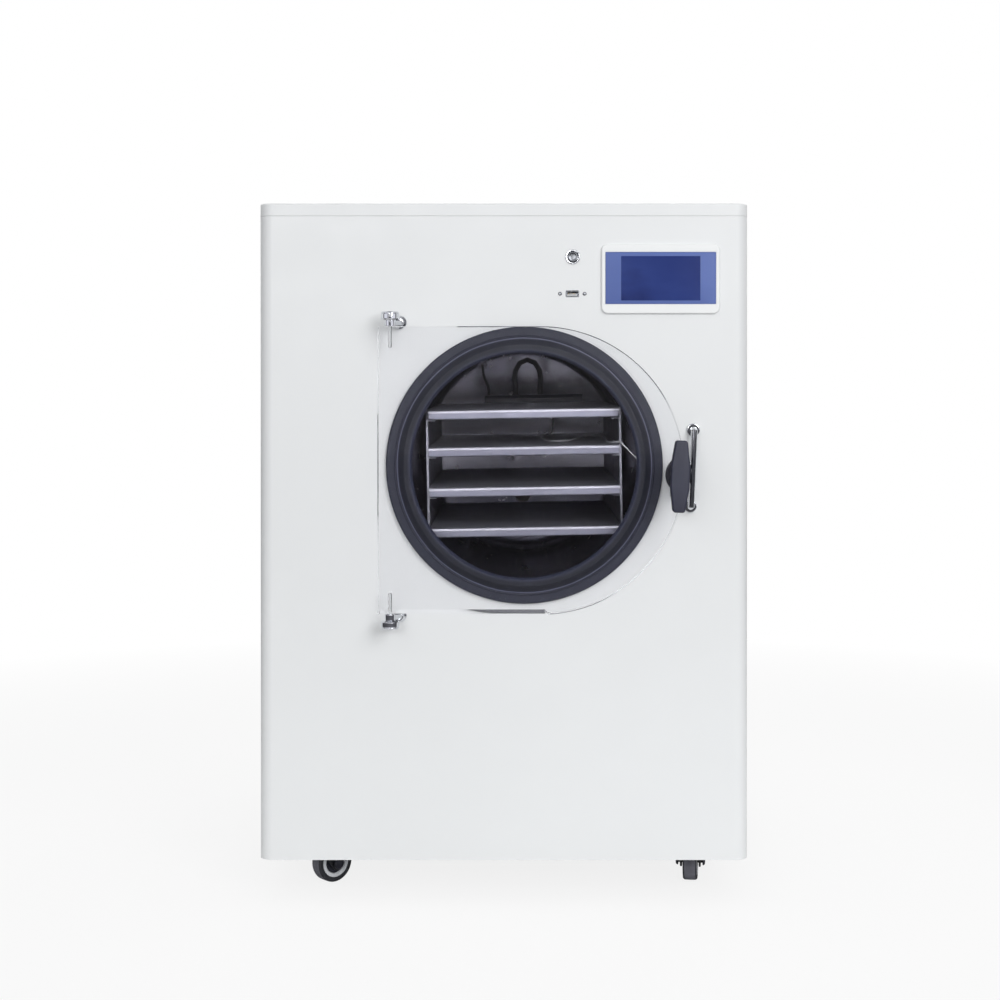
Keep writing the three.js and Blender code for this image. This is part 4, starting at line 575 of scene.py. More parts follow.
# The route's points, in metres in the row frame.
lead_points = [
    (0.0697, 0.1944, 0.570), (0.0696, 0.1813, 0.5698), (0.069, 0.1673, 0.566),
    (0.068, 0.1553, 0.5595), (0.067, 0.1423, 0.5526), (0.066, 0.1273, 0.5496),
    (0.063, 0.0953, 0.5493), (0.058, 0.0453, 0.5492), (0.053, -0.0047, 0.5491),
    (0.050, -0.0547, 0.5491), (0.050, -0.1047, 0.5491), (0.053, -0.1447, 0.5491),
    (0.060, -0.1727, 0.5492), (0.071, -0.1827, 0.5494), (0.082, -0.1727, 0.5496),
    (0.090, -0.1397, 0.5498), (0.0979, -0.0944, 0.5499), (0.1078, -0.0468, 0.5501),
    (0.1149, -0.0256, 0.5503), (0.1256, -0.0283, 0.5504), (0.1295, -0.056, 0.5505),
    (0.131, -0.1047, 0.5505), (0.130, -0.1547, 0.5505), (0.129, -0.2047, 0.5505),
    (0.130, -0.2427, 0.5505), (0.1325, -0.2647, 0.5509), (0.1365, -0.2747, 0.5516),
    (0.1406, -0.2797, 0.552), (0.1436, -0.2825, 0.5502),
]
needle_start = Vector((0.144, -0.2828, 0.5498))
needle_tip = Vector((0.1684, -0.2902, 0.5246))


def probe():
    """Braided lead on the second shelf, with the probe's steel needle on its end."""
    route = smooth_line(lead_points, 10)
    curve = bpy.data.curves.new("probe_lead_cord", "CURVE")
    curve.dimensions = "3D"
    curve.bevel_depth = LEAD_RADIUS
    curve.bevel_resolution = 5
    curve.use_fill_caps = True
    spline = curve.splines.new("POLY")
    spline.points.add(len(route) - 1)
    for point, place in zip(spline.points, route):
        point.co = (*place, 1)
    cord = add_object("probe_lead_cord", curve)
    curve.materials.append(braided.mat)
    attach(cord, "cabinet")
    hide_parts("probe_lead")
    span = needle_tip - needle_start
    reach = span.length / MM
    profile = mm((0, 0), (1.6, 0, 0.3), (1.6, 9, 0.3), (1.1, 10, 0.2), (1.1, reach - 3, 0.3), (0, reach))
    sleeve = turned(profile, needle_start, span, sides=24)
    needle = piece("probe_needle_tip", sleeve, bright_steel, "probe_needle")


probe()


# ---------------- cabinet

HOOD = 3.5  # how far the louvres stand out from each side, in millimetres
LOUVRES, LOUVRE_PITCH = 6, 20
OPENING_RADIUS = 154.3
half_width = shell_hi.x - HOOD * MM


def cabinet_body():
    """Folded front and sides with flanges at the back, openings in the front and slots in the sides."""
    half, front, back = half_width, panel_y, shell_hi.y
    inside, flange = half - SHEET, half - 18 * MM
    outer, inner = EDGE_RADIUS * MM, EDGE_RADIUS * MM - SHEET
    outline = [
        (flange, back - SHEET), (inside, back - SHEET, 1 * MM), (inside, front + SHEET, inner),
        (-inside, front + SHEET, inner), (-inside, back - SHEET, 1 * MM), (-flange, back - SHEET),
        (-flange, back), (-half, back, 2 * MM), (-half, front, outer), (half, front, outer),
        (half, back, 2 * MM), (flange, back),
    ]
    folded = slab(fillet(outline, 12), shell_lo.z, shell_hi.z, FLAT)
    body = piece("cabinet_body", folded, powder, "cabinet_shell")
    screen, socket, button = middle("screen_bezel"), middle("data_socket"), middle("button_ring")

    def window(place, width, height):
        return slab(rectangle(place.x, place.z, width, height, 1), Y(-3), Y(5), FRONT)

    def round_hole(place, radius):
        return turned(rod(radius, -3, 5), on_panel(place.x, place.z), BACKWARD, 96)

    slots = [
        slab(rectangle(side * half, (291.5 + LOUVRE_PITCH * i) * MM, 6, 3.4, 0.2, 1), Y(223), Y(437), FRONT)
        for side in SIDES for i in range(LOUVRES)
    ]
    carve(
        body, round_hole(axis, OPENING_RADIUS), window(screen, 128.6, 70.6), window(socket, 16.2, 8.2),
        round_hole(button, 7.9), together(slots),
    )


cabinet_body()


def louvres():
    """Pressed hoods over the side slots, open below."""

    def hoods(shrink, trim, soft):
        made = []
        for side in SIDES:
            root, face = side * (half_width - 0.4 * MM), side * (half_width + (HOOD - shrink) * MM)
            for i in range(LOUVRES):
                z = (290 + LOUVRE_PITCH * i) * MM
                under = z - 0.1 * MM * shrink
                outline = [
                    (root, under), (face, under), (face, z + (3 - shrink / 2) * MM, 1.4 * MM),
                    (root, z + (9.6 - 1.6 * shrink) * MM),
                ]
                made.append(slab(fillet(outline, 4), Y(220 + trim), Y(440 - trim), FRONT, soft, soft))
        return together(made)

    made = piece("side_louvres", hoods(0, 0, 1.2), powder, None)
    carve(made, hoods(1.1, 1.6, 0))


louvres()


def lid():
    """Folded lid, rounded along its top edge, with four locating tabs inside its skirt."""
    size = (lid_hi - lid_lo) / MM
    seam, top = shell_hi.z + 0.3 * MM, lid_hi.z
    outer = rectangle(0, (lid_lo.y + lid_hi.y) / 2, size.x, size.y, EDGE_RADIUS, 12)
    inner = inset(outer, SHEET)
    roll = 2.2 * MM
    levels = [(inner, top - SHEET), (inner, seam), (outer, seam)]
    for t in steps_between(0, math.pi / 2, 5):
        levels.append((inset(outer, roll * (1 - math.cos(t))), top - roll * (1 - math.sin(t))))
    solids = [loft([[FLAT(u, v, z) for u, v in loop] for loop, z in levels])]
    for side in SIDES:
        for share in (0.25, 0.75):
            x = side * (lid_hi.x - SHEET * 1.5 - 0.3 * MM)
            tab = rectangle(x, lid_lo.y + (lid_hi.y - lid_lo.y) * share, SHEET / MM, 40, 0.3, 2)
            solids.append(slab(tab, lid_lo.z, top - SHEET - 0.05 * MM, FLAT, 0.4))
    piece("lid_cap", solids, powder, "top_lid")


lid()


def screws(name, places, direction, radius, height, finish):
    """Pan-head screws with a cross recess, standing on a face. Their sizes are in millimetres."""
    along = Vector(direction)
    turn = along.to_track_quat("Z", "Y").to_matrix()
    shank, stub = radius * 0.45, -1.2
    profile = mm(
        (0, stub), (shank, stub), (shank, 0), (radius, 0, 0.1), (radius, height * 0.45, 0.4),
        (radius * 0.7, height, 0.8), (0, height),
    )
    made = piece(name, [turned(profile, place, along, 28) for place in places], finish)
    half, thin = radius * 0.55, radius * 0.12
    bar = mm((-half, -thin), (half, -thin), (half, thin), (-half, thin))
    cuts = []
    for place in places:
        on_head = lambda u, v, w, place=place: Vector(place) + turn @ Vector((u, v, 0)) + along * w
        for angle in (math.radians(45), math.radians(135)):
            c, s = math.cos(angle), math.sin(angle)
            spun = [(u * c - v * s, u * s + v * c) for u, v in bar]
            cuts.append(slab(spun, height * 0.45 * MM, height * 1.2 * MM, on_head))
    carve(made, together(cuts))


# ---------------- vessel and seal


def vessel():
    """Deep-drawn vessel: a cylinder, a flattish dished end with a tight knuckle, and its mount flange."""
    radius, wall, end, crown, knuckle = 150, 4, 481, 600, 19

    def dome(r, crown, knuckle, steps=12):
        """Dished end from the cylinder's rim to its middle, as (radius, distance)."""
        drop = math.sqrt((crown - knuckle) ** 2 - (r - knuckle) ** 2)
        turn = math.atan2(drop, r - knuckle)
        made = [
            (r - knuckle + knuckle * math.cos(t), end + knuckle * math.sin(t))
            for t in steps_between(0, turn, steps)
        ]
        made += [
            (crown * math.cos(t), end + crown * math.sin(t) - drop)
            for t in steps_between(turn, math.pi / 2, steps)
        ]
        del made[steps + 1]
        made[-1] = (0, made[-1][1])
        return made

    inner = dome(radius, crown, knuckle)[::-1]
    outer = dome(radius + wall, crown + wall, knuckle + wall)
    flange = [(150, -2, 0.5), (154, -2, 0.5), (154, 1.8), (170, 1.8), (170, 5.8), (154, 5.8)]
    shell = turned(mm(*inner, *flange, *outer), on_panel(axis.x, axis.z), BACKWARD, 144)
    made = piece("vessel_body", shell, vessel_steel, "vacuum_chamber")
    port = on_panel(axis.x, axis.z - 70 * MM)
    stub = turned(mm((0, 512), (14, 512), (14, 530, 0.6), (0, 530)), port, BACKWARD, 48)

    def gland(x, z):
        """Cup round a cable on the vessel's end, at a place in millimetres from its axis."""
        face = min(inner, key=lambda point: abs(point[0] - math.hypot(x, z)))[1]
        profile = mm(
            (0, face + 2), (7, face + 2), (7, face - 5, 0.8), (5, face - 5), (5, face - 8, 1.5),
            (0, face - 8),
        )
        return turned(profile, on_panel(axis.x + x * MM, axis.z + z * MM), BACKWARD, 32)

    weld(made, stub, gland(-59, 121), gland(45, 45))
    carve(made, turned(rod(12, 460, 540), port, BACKWARD, 48))
    disc = turned(mm((0, 521), (11.9, 521, 0.6), (11.9, 524, 0.6), (0, 524)), port, BACKWARD, 40)
    piece("port_filter", disc, sintered, None)


vessel()


def seal():
    """Rubber ring with a flange on the panel, a rolled crest and a lip that leans inwards."""
    outer = (seal_hi.z - seal_lo.z) / 2 / MM
    front = (seal_lo.y - panel_y) / MM
    profile = mm(
        (outer, -0.3), (OPENING_RADIUS, -0.3), (OPENING_RADIUS, -2.3), (149.7, -2.3),
        (149.7, 18, 0.8), (145.7, 18, 0.8), (145.7, 4, 3), (136, -4, 2),
        (134.2, -8.6, 1.5), (137, front, 2), (144.6, front, 2.4), (150.4, -8.6, 2.6),
        (153.4, -7.6, 0.5), (154.6, -8.3, 0.7), (156.2, -7.2, 0.6), (outer, -7, 2.6),
    )
    solid = turned(profile, on_panel(axis.x, axis.z), BACKWARD, 168, 6)
    piece("seal_ring", solid, rubber, "door_seal", sharp=40)


seal()


# ---------------- door


def door():
    """Clear plate, round on the latch side, notched for the latch body and drilled for the hinge pins."""
    radius = (door_hi.z - door_lo.z) / 2
    centre = Vector((door_hi.x - radius, 0, (door_hi.z + door_lo.z) / 2))
    notch = 11 * MM

    def arc(place, size, start, end, steps):
        angles = steps_between(start, end, steps)
        return [(place.x + size * math.cos(t), place.z + size * math.sin(t)) for t in angles]

    quarter = math.pi / 2
    below, above = (math.asin((latch.z + rise - centre.z) / radius) for rise in (-notch, notch))
    right = (
        arc(centre, radius, -quarter, below, 48) + arc(latch, notch, -quarter, -3 * quarter, 16)
        + arc(centre, radius, above, quarter, 48)
    )
    left = [right[-1], (door_lo.x, door_hi.z, 2 * MM), (door_lo.x, door_lo.z, 2 * MM), right[0]]
    loop = right + fillet(left, 5, False)[1:-1]
    plain_bevel, lower_bevel = 1.1, 6.5
    corners = []
    for (u, v), (iu, iv) in zip(loop, inset(loop, MM)):
        # An edge counts as the lower one where moving it in by a millimetre lifts it by as much.
        lower = min(max(((iv - v) / MM - 0.9985) / 0.001, 0), 1)
        corners.append((u, v, iu - u, iv - v, plain_bevel + (lower_bevel - plain_bevel) * lower))

    def row(share, depth, depth_share=0):
        return [
            FRONT(u + du * bevel * share, v + dv * bevel * share, depth + depth_share * bevel * MM)
            for u, v, du, dv, bevel in corners
        ]

    front, back = door_lo.y, door_hi.y
    rows = [row(1, front), row(0.04, front, 1.67), row(0, front, 1.75), row(0, back - MM), row(0.2, back)]
    made = piece("door_glass", loft(rows), acrylic, "door_panel", "door")
    profile = mm((0, -25), (2.2, -25, 0.8), (2.2, 5), (0, 5))
    carve(made, *[
        turned(profile, (hinge.x, hinge.y, edge), (0, 0, end), 32)
        for edge, end in ((door_hi.z, 1), (door_lo.z, -1))
    ])


door()

FOOT = [(8, -0.3, 0.2), (3.5, -0.3), (3.5, 8), (0, 8)]  # end of a turned post that passes through the panel


def hinge_set(which, end):
    """Post with its eye and arm on the panel, and the knobbed pin in it, on which the door turns."""
    inner = (door_hi.z if end > 0 else door_lo.z) + end * 0.3 * MM
    height = 7.4
    post_x, post_z = hinge.x + 10 * MM, inner + end * 5 * MM
    front = hinge.y + 11.3 * MM
    reach = (front - panel_y) / MM
    profile = mm((0, reach), (5, reach, 0.8), (5, -6.3, 1.2), (8, -3.3, 0.4), *FOOT)
    upright = turned(profile, on_panel(post_x, post_z), BACKWARD, 48)
    post = piece(f"hinge_{which}_post", upright, chrome, f"hinge_post_{which}")

    def on_hinge(profile, level, sides):
        return turned(profile, (hinge.x, hinge.y, level), (0, 0, end), sides)

    start, stop = Vector((post_x, front + 2 * MM)), Vector((hinge.x, hinge.y))
    ahead = (stop - start).normalized()
    side = Vector((-ahead.y, ahead.x)) * 4 * MM
    bar = [tuple(start + side), tuple(start - side), tuple(stop - side), tuple(stop + side)]
    arm = slab(bar, inner + end * 0.6 * MM, inner + end * 6.8 * MM, FLAT, 0.6, 0.6)
    weld(post, on_hinge(mm((0, 0), (6.5, 0, 0.5), (6.5, height, 0.5), (0, height)), inner, 48), arm)
    carve(post, on_hinge(rod(4.3, -3, 12), inner, 40))

    face = inner + end * (height + 0.3) * MM
    spigot = mm((0, -31.9), (2, -31.9, 0.4), (2, -8.2), (0, -8.2))
    piece(f"hinge_{which}_spigot", on_hinge(spigot, face, 24), sleeve_plastic, None)
    knob = mm(
        (0, -8.2), (4, -8.2, 0.3), (4, 0), (9.8, 0, 0.3), (11, 1.2, 0.6), (11, 6.6, 0.3), (10.2, 7.1, 0.2),
        (10.2, 7.5, 0.2), (11, 8, 0.5), (9.4, 9.8, 1), (0, 10),
    )
    piece(f"hinge_{which}_pin", on_hinge(knob, face, 56), chrome, f"hinge_pin_{which}")


hinge_set("upper", 1)
hinge_set("lower", -1)


# ---------------- latch

LEAN = math.radians(2.4)


def leaning(u, v, w):
    """Place in the frame of the latch handle, whose top leans to the right."""
    c, s = math.cos(LEAN), math.sin(LEAN)
    return Vector((latch.x + u * c + v * s, w, latch.z + v * c - u * s))


def on_latch(profile, sides):
    return turned(profile, on_panel(latch.x, latch.z), BACKWARD, sides)


def latch_body():
    """Black housing with a bulged side, its barrel through the door's notch and the nut behind."""
    half, left, right, chamfer = 22 * MM, 14.5 * MM, 13.5 * MM, 3 * MM
    bulge = (half * half + left * left) / (2 * left)
    sweep = math.asin(half / bulge)
    centre_x = latch.x - left + bulge
    outline = [
        (centre_x + bulge * math.cos(t), latch.z + bulge * math.sin(t))
        for t in steps_between(math.pi - sweep, math.pi + sweep, 24)
    ]
    for side, (u, v) in ((-1, (chamfer, 0)), (-1, (0, chamfer)), (1, (0, chamfer)), (1, (chamfer, 0))):
        outline.append((latch.x + right - u, latch.z + side * (half - v)))
    housing = slab(outline, Y(-38.3), Y(-45.3), FRONT, 0, 1.4, 4)
    made = piece("latch_body", housing, housing_plastic, "latch_housing", "door")
    nut = slab(ring(latch.x, latch.z, 12.5 * MM, 6), Y(-12.7), Y(-10.3), FRONT, 0.3, 0.5)
    weld(made, on_latch(rod(10.7, -42, -12.2), 48), nut)
    carve(made, on_latch(rod(5.3, -50, -5), 40))


def latch_wing():
    """Wing handle on its stem, which ends in a square for the cam."""
    wide, straight, tip, half = 11, 13, 6.9, 42.05
    quarter = [(wide, -straight, 9), (wide, straight, 9), (tip, half, 3.6)]
    outline = mm(*quarter, *[(-u, v, r) for u, v, r in quarter[::-1]], (-tip, -half, 3.6), (tip, -half, 3.6))
    wing = slab(fillet(outline, 7), Y(-64.6), Y(-79.9), leaning, 1.6, 2.4, 6, 0.6)
    made = piece("latch_wing", wing, dark_plastic, "latch_handle", "latch")
    stem = mm((0, -67), (10, -67), (9, -55, 6), (10, -45.6, 0.5), (5, -45.6), (5, -10), (0, -10))
    square = slab(rectangle(0, 0, 7, 7, 0.6, 2), Y(-12), Y(-4.2), leaning, 0, 0.5)
    weld(made, on_latch(stem, 48), square, sharp=40)


def latch_catch():
    """Cam: a bar with one round end and a square hole."""
    radius, length = 6 * MM, 28 * MM
    square_end = [(-radius, 0), (-radius, -length, 1.6 * MM), (radius, -length, 1.6 * MM), (radius, 0)]
    outline = ring(0, 0, radius, 24)[:13] + fillet(square_end, 4, False)[1:-1]
    bar = slab(outline, Y(-9.7), Y(-5.7), leaning, 0.4, 0.4)
    made = piece("latch_catch", bar, galvanised, "latch_cam", "latch")
    carve(made, slab(rectangle(0, 0, 7.6, 7.6, 0.5, 2), Y(-12), Y(-3), leaning))


def strike():
    """Bent rod on two turned feet, behind which the cam catches."""
    centre = Vector((226.3 * MM, 0, axis.z - 4 * MM))
    lean = Vector((math.sin(LEAN), 0, math.cos(LEAN)))
    reach, bend, front = 46 * MM, 6 * MM, Y(-14.3)
    line, feet = [], []
    for side in (1, -1):
        foot = centre + lean * side * reach
        leg = [Vector((foot.x, y, foot.z)) for y in (Y(-1.3), front + bend + 2 * MM)]
        for t in steps_between(0, math.pi / 2, 6):
            drop = lean * -side * bend * (1 - math.cos(t))
            leg.append(Vector((foot.x, front + bend * (1 - math.sin(t)), foot.z)) + drop)
        line += leg[::side]
        feet.append(turned(mm((0, -3.3), (8, -3.3, 1.2), *FOOT), on_panel(foot.x, foot.z), BACKWARD, 48))
    made = piece("strike_rod", swept(line, 4 * MM, 24, 3), chrome, "latch_strike")
    weld(made, *feet)


latch_body()
latch_wing()
latch_catch()
strike()


# ---------------- front controls


def screen():
    """White frame, dark cover glass and the display under it."""
    centre = middle("screen_bezel")
    glass_lo, glass_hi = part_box("screen_glass")
    glass, size = (glass_lo + glass_hi) / 2, (glass_hi - glass_lo) / MM
    frame_front = slab(rectangle(centre.x, centre.z, 142.4, 84, 8, 8), Y(-0.3), Y(-4.3), FRONT, 0, 1.5, 5)
    made = piece("screen_frame", frame_front, bezel_paint, "screen_bezel")
    weld(made, slab(rectangle(centre.x, centre.z, 128, 70, 1), Y(-1.3), Y(32), FRONT))
    seat = rectangle(glass.x, glass.z, size.x + 0.6, size.z + 0.6, 0.8)
    carve(made, slab(seat, Y(-8), glass_hi.y + 0.3 * MM, FRONT))
    pane = slab(rectangle(glass.x, glass.z, size.x, size.z, 0.6), glass_hi.y, glass_lo.y, FRONT, 0, 0.25)
    cover = piece("screen_cover", pane, border_glass, "screen_glass")
    active = rectangle(188.85 * MM, 749.5 * MM, 95.3, 53.4, 0.4, 2)
    carve(cover, slab(inset(active, -0.05 * MM), glass_lo.y - 1 * MM, glass_lo.y + 0.3 * MM, FRONT))
    shown = slab(active, glass_lo.y + 0.28 * MM, glass_lo.y + 0.02 * MM, FRONT)
    piece("screen_display", shown, active_glass, None)


def push_button():
    """Steel cap in a chromed ring."""
    centre = middle("power_button")
    place = on_panel(centre.x, centre.z)
    ring_profile = mm(
        (0, 16), (6.5, 16), (6.5, -1.9, 0.3), (7.2, -2.4, 0.3), (8.2, -2.4, 0.4), (8.8, -1.6, 0.5),
        (8.8, -0.3, 0.1), (7.6, -0.3), (7.6, 22), (0, 22),
    )
    piece("button_bezel", turned(ring_profile, place, BACKWARD), chrome, "button_ring")
    cap = mm((0, -3.1), (3.4, -3.3, 3), (5.2, -3.8, 0.8), (6.2, -3.0, 0.6), (6.2, 14.2, 0.3), (0, 14.2))
    solid = turned(cap, place, BACKWARD)
    piece("button_cap", solid, button_steel, "power_button", "power_button")


def socket():
    """Steel shell on a mounting plate behind the panel, with a white tongue and four contacts."""
    centre = middle("data_socket")
    x, z = centre.x, centre.z

    def block(width, height, radius, start, end, *soft):
        return slab(rectangle(x, z, width, height, radius), Y(start), Y(end), FRONT, *soft)

    made = piece(
        "socket_shell", block(15.6, 7.6, 0.9, 18.8, -0.6, 0, 0.3), button_steel, "data_socket"
    )
    weld(made, block(38, 12, 1.5, 1.8, 5.8))
    carve(made, block(13.6, 5.6, 0.5, -5, 15.8))
    left = x - 0.5 * MM
    tongue = slab(rectangle(left, z - 1.6 * MM, 12, 1.9, 0.3), Y(15.9), Y(0.2), FRONT, 0, 0.3)
    piece("socket_tongue", tongue, socket_insert, None)
    contacts = [
        slab(rectangle(left + (k - 1.5) * 2.6 * MM, z + 0.1 * MM, 1.1, 0.3, 0.05, 1), Y(14), Y(1.6), FRONT)
        for k in range(4)
    ]
    piece("socket_contacts", contacts, gold, None)
    places = [on_panel(x + side * 14.7 * MM, z) for side in SIDES]
    screws("socket_screws", places, (0, -1, 0), 2.3, 1.4, button_steel)


def rear_screws():
    """Screws round the rear panel and at the mains inlet."""
    panel_lo, panel_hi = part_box("rear_panel")
    inlet_lo, inlet_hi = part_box("power_inlet")
    edge = 9 * MM
    rows = steps_between(panel_lo.z + edge, panel_hi.z - edge, 3)
    places = [(x, panel_hi.y, z) for z in rows for x in (panel_lo.x + edge, panel_hi.x - edge)]
    places += [(x, panel_hi.y, z) for z in (rows[0], rows[-1]) for x in (-95 * MM, 95 * MM)]
    screws("rear_panel_screws", places, BACKWARD, 4, 2, bright_steel)
    level = (inlet_lo.z + inlet_hi.z) / 2
    places = [(x, inlet_hi.y, level) for x in (inlet_lo.x + 4.4 * MM, inlet_hi.x - 4.4 * MM)]
    screws("inlet_screws", places, BACKWARD, 2.6, 1.2, bright_steel)


screen()
push_button()
rear_screws()
socket()


# ---------------- casters

HEADINGS = {"front_left": 40, "front_right": 82, "rear_left": 115, "rear_right": 62}
TRAIL, AXLE_HEIGHT = 20, 25


def caster(name, heading):
    """Swivel caster: plate with its race, yoke with two legs, and a wheel of four rings."""
    pivot = Vector(joints[f"caster_swivel_{name}"]["pos_m"])
    pivot.z = 0
    turn = Matrix.Rotation(math.radians(heading), 3, "Z")
    along_axle = lambda u, v, w: pivot + turn @ Vector((u, w, v))
    hub = along_axle(TRAIL * MM, AXLE_HEIGHT * MM, 0)
    axle = turn @ Vector((0, 1, 0))
    wheel, fork = f"caster_wheel_{name}", f"caster_fork_{name}"

    def both_ways(*half):
        """Ring profile from its first half, mirrored across the wheel's middle."""
        return mm(*half, *[(point[0], -point[1], *point[2:]) for point in half[::-1]])

    tyre = both_ways((18.6, -8.6, 0.6), (23.4, -9, 1.8), (24.6, -7.2, 1.2))
    tread = mm((24.2, -7.1), (24.9, -6.6, 0.6), (25, 0, 20), (24.9, 6.6, 0.6), (24.2, 7.1))
    rim = both_ways((13.6, -7.4, 0.4), (14.6, -8.95, 0.6), (18.55, -8.9, 0.6))
    core = both_ways((4.3, -8.8, 0.3), (7.5, -8.8, 0.5), (8.5, -7, 0.8), (13.55, -7, 0.2))
    for part, profile, sides, finish, node, slot in (
        ("tyre", tyre, 72, tyre_rubber, wheel, "wheel_rubber"),
        ("tread", tread, 72, tread_painted_light, None, "wheel_rubber"),
        ("rim", rim, 64, rim_plastic, None, "wheel_rubber"),
        ("hub", core, 48, housing_plastic, None, "dark_plastic"),
    ):
        piece(f"caster_{part}_{name}", turned(profile, hub, axle, sides), finish, node, wheel)
    cap = mm((0, 15.2), (6.4, 15.2, 0.4), (7.4, 16, 0.8), (5.6, 18.2, 1.8), (0, 18.7))
    for side, letter in zip(SIDES, "ab"):
        solid = turned(cap, hub, axle * side, 40)
        piece(f"caster_cap_{name}_{letter}", solid, housing_plastic, None, fork)

    crown = turned(mm((5.4, 54.3), (21, 54.3, 0.9), (21, 56.6, 1.2), (5.4, 56.6)), pivot, (0, 0, 1), 56)
    made = piece(f"caster_yoke_{name}", crown, black_paint, fork, fork)
    leg = mm((-14.7, 56.2), (11, 23)) + [
        ((TRAIL + 9 * math.cos(t)) * MM, (AXLE_HEIGHT + 9 * math.sin(t)) * MM)
        for t in steps_between(-math.pi * 0.9, 0, 14)
    ] + mm((18.9, 56.2))
    near, thickness = 10.6 * MM, 2.3 * MM
    legs = [slab(leg, side * near, side * near + side * thickness, along_axle, 0.3, 0.7) for side in SIDES]
    bolt = mm((0, -15.4), (3.2, -15.4, 0.4), (4, -14.8, 0.4), (4, 14.8, 0.4), (3.2, 15.4, 0.4), (0, 15.4))
    weld(made, *legs, turned(bolt, hub, axle, 6), turned(rod(3.9, -15, 15), hub, axle, 32))

    plate = slab(rectangle(pivot.x, pivot.y, 58, 58, 6), 65.5 * MM, 68 * MM, FLAT, 0.5)
    made = piece(f"caster_mount_{name}", plate, galvanised, f"caster_plate_{name}")
    race = mm(
        (0, 50.5), (6, 50.5, 0.8), (8, 51.5, 0.4), (8, 54, 0.2), (5, 54),
        (5, 56.9), (20, 56.9, 0.8), (19, 60, 2), (16, 65.9), (0, 65.9),
    )
    weld(made, turned(race, pivot, (0, 0, 1), 48))
    places = [(pivot.x + a * 22 * MM, pivot.y + b * 22 * MM, 65.5 * MM) for a in SIDES for b in SIDES]
    screws(f"caster_bolts_{name}", places, (0, 0, -1), 4, 2.4, galvanised)


for name, heading in HEADINGS.items():
    caster(name, heading)


# ---------------- shelves

ROLL = math.radians(1)


def rolled(w, v, u):
    """Place in the frame of the shelf rack: w along the vessel, v up from its axis, u across."""
    c, s = math.cos(ROLL), math.sin(ROLL)
    return Vector((axis.x + u * c - v * s, w, axis.z + u * s + v * c))


def shelf(number, level):
    """Flat plate with a rounded nose, and the shallow heating pan under it."""
    # Half width and softened edges, then the outline as (depth, drop, radius), all in millimetres.
    plate = 116, 0.4, ((20, 4, 0.4), (440, 4, 1), (440, 0, 1), (20, 0, 2.4))
    pan = 115.6, 0.8, ((20.4, 11.6, 1.6), (438, 11.6, 1.6), (438, 4.02, 0), (20.4, 4.02, 0))
    for part, (half, soft, outline), finish, node in (
        ("plate", plate, shelf_metal, f"shelf_{number}"), ("pan", pan, pan_metal_painted_shade, None),
    ):
        corners = [(Y(depth), (level - drop) * MM, radius * MM) for depth, drop, radius in outline]
        solid = slab(fillet(corners), -half * MM, half * MM, rolled, soft, soft)
        piece(f"shelf_{part}_{number}", solid, finish, node)


for number, level in enumerate((67, 22, -27, -76), 1):
    shelf(number, level)


# ---------------- shown solids of the CAD

# Finish, width of the softened edges in millimetres, and nodes.
kept = (
    (galvanised, 0.35, "rear_panel base_pan cradle_front cradle_rear control_box condenser fan_shroud"),
    (rack_steel, 0.25, "rack_side_left rack_side_right"),
    (copper, 0, "evaporator_coil discharge_line liquid_line suction_line filter_drier"),
    (foam, 0.8, "insulation_jacket"),
    (dark_plastic, 0.4, "terminal_bar fan_rotor drain_lever power_inlet"),
    (cable_rubber, 0, "heater_cable sensor_cable"),
    (black_paint, 0.8, "compressor"),
    (vessel_steel, 0.4, "vacuum_line"),
    (chrome, 0.2, "drain_valve"),
)
for finish, width, nodes in kept:
    for node in nodes.split():
        solid = frame["nodes"][node]
        solid.data.materials.clear()
        solid.data.materials.append(finish.mat)
        if width:
            soften(solid, width * MM)
        else:
            shade(solid, 50)


# ---------------- stage


def floor():
    """White to the camera and through glass. To the lamps it is matt, pale nearby and darker far off."""
    reach = 12
    mesh = bpy.data.meshes.new("floor")
    corners = [(-reach, -reach, 0), (reach, -reach, 0), (reach, reach, 0), (-reach, reach, 0)]
    mesh.from_pydata(corners, [], [(0, 1, 2, 3)])
    obj = add_object("floor", mesh)
    obj.location.z = -0.0002
    mat = bpy.data.materials.new("floor_white")
    tree = Nodes(mat, clear=True)
    path = tree.add("LightPath").outputs
    place = tree.add("TexCoord").outputs["Object"]
    far = tree.spread(tree.length(place), 0, 1, 0.7, 1.9)
    tone = tree.tones(far, (0, (0.8, 0.8, 0.8, 1)), (1, (0.1, 0.1, 0.11, 1)))
    matt = tree.add("BsdfDiffuse", {"Color": tone}).outputs[0]
    white = tree.add("Emission", {"Color": (1, 1, 1, 1)}).outputs[0]
    pale = tree.mix(tree.spread(far, 0.84, 1, 0, 1), matt, white)
    # Glass shows the white floor behind the front panel.
    # The floor before it stays out of the door's reflection.
    depth = tree.add("SeparateXYZ", {0: place}).outputs["Y"]
    through = tree.math("MULTIPLY", path["Is Transmission Ray"], tree.math("GREATER_THAN", depth, panel_y))
    seen = tree.math("MAXIMUM", path["Is Camera Ray"], through)
    tree.add("OutputMaterial", {"Surface": tree.mix(seen, matt, pale)})
    mesh.materials.append(mat)


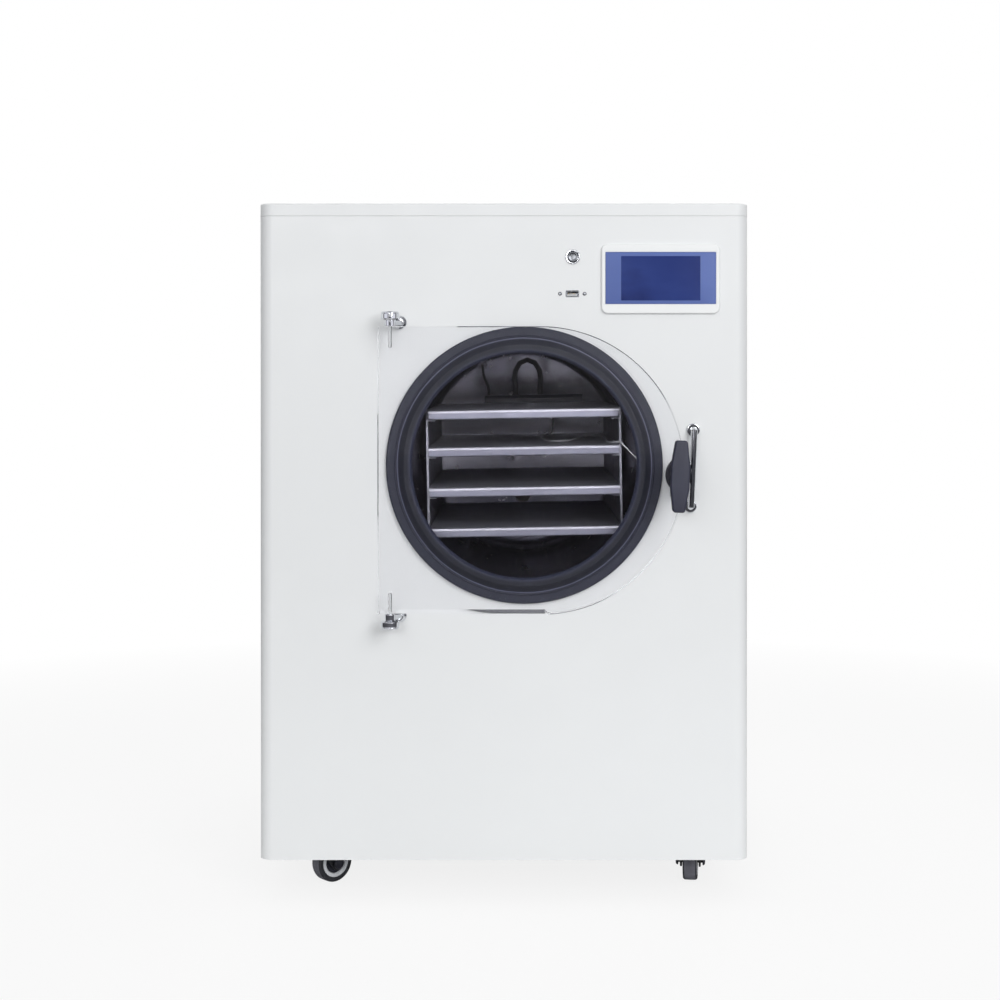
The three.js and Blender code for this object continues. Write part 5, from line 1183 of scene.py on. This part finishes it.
def world():
    """White backdrop behind the object, and a greyer room behind the camera."""
    made = bpy.data.worlds.new("studio")
    bpy.context.scene.world = made
    tree = Nodes(made, clear=True)
    path = tree.add("LightPath").outputs
    ray = tree.add("SeparateXYZ", {0: tree.add("TexCoord").outputs["Generated"]}).outputs
    sky = tree.tones(tree.spread(ray["Z"], 0, 1, -0.6, 0.8), (0, (0.3, 0.3, 0.31, 1)), (1, (1, 1, 1, 1)))
    ambient = tree.add("Background", {"Color": sky, "Strength": 0.6}).outputs[0]
    # From behind the camera (0) over the bright walls and the dark corners of the room to the backdrop (1).
    levels = ((0.005, 0.12), (0.03, 0.36), (0.1, 0.9), (0.3, 0.9), (0.38, 0.24), (0.49, 0.24), (0.54, 1))
    stops = [(place, (level, level, min(level * 1.08, 1), 1)) for place, level in levels]
    room = tree.tones(tree.spread(ray["Y"], 0, 1, -1, 1), *stops)
    mirrored = tree.add("Background", {"Color": room, "Strength": 1}).outputs[0]
    white = tree.add("Background", {"Color": (1, 1, 1, 1), "Strength": 1}).outputs[0]
    sharp = tree.math("MAXIMUM", path["Is Glossy Ray"], path["Is Transmission Ray"])
    direct = tree.math("LESS_THAN", path["Diffuse Depth"], 0.5)
    unseen = tree.mix(tree.math("MULTIPLY", sharp, direct), ambient, mirrored)
    tree.add("OutputWorld", {"Surface": tree.mix(path["Is Camera Ray"], unseen, white)})


def lamp(name, place, target, width, height, power):
    data = bpy.data.lights.new(name, "AREA")
    data.shape = "RECTANGLE"
    data.size, data.size_y = width, height
    data.energy = power
    obj = add_object(name, data)
    obj.location = place
    obj.rotation_euler = (Vector(target) - Vector(place)).to_track_quat("-Z", "Y").to_euler()


floor()
world()
# The front lamps stay out of the directions that the closed door and the screen mirror to the camera.
lamp("key", (1.5, -3.0, 1.9), (0, 0, 0.5), 1.5, 1.3, 31)
lamp("fill", (-1.5, -3.0, 1.8), (0, 0, 0.5), 1.3, 1.2, 5)
lamp("low_left", (-0.4, -3.2, 1.07), (0, 0, 0.5), 1.1, 0.42, 15)
lamp("low_right", (1.2, -3.15, 1.07), (0, 0, 0.5), 1.1, 0.42, 14)
lamp("back", (0.2, 3.0, 1.9), (0, 0, 0.4), 3.6, 2.4, 44)
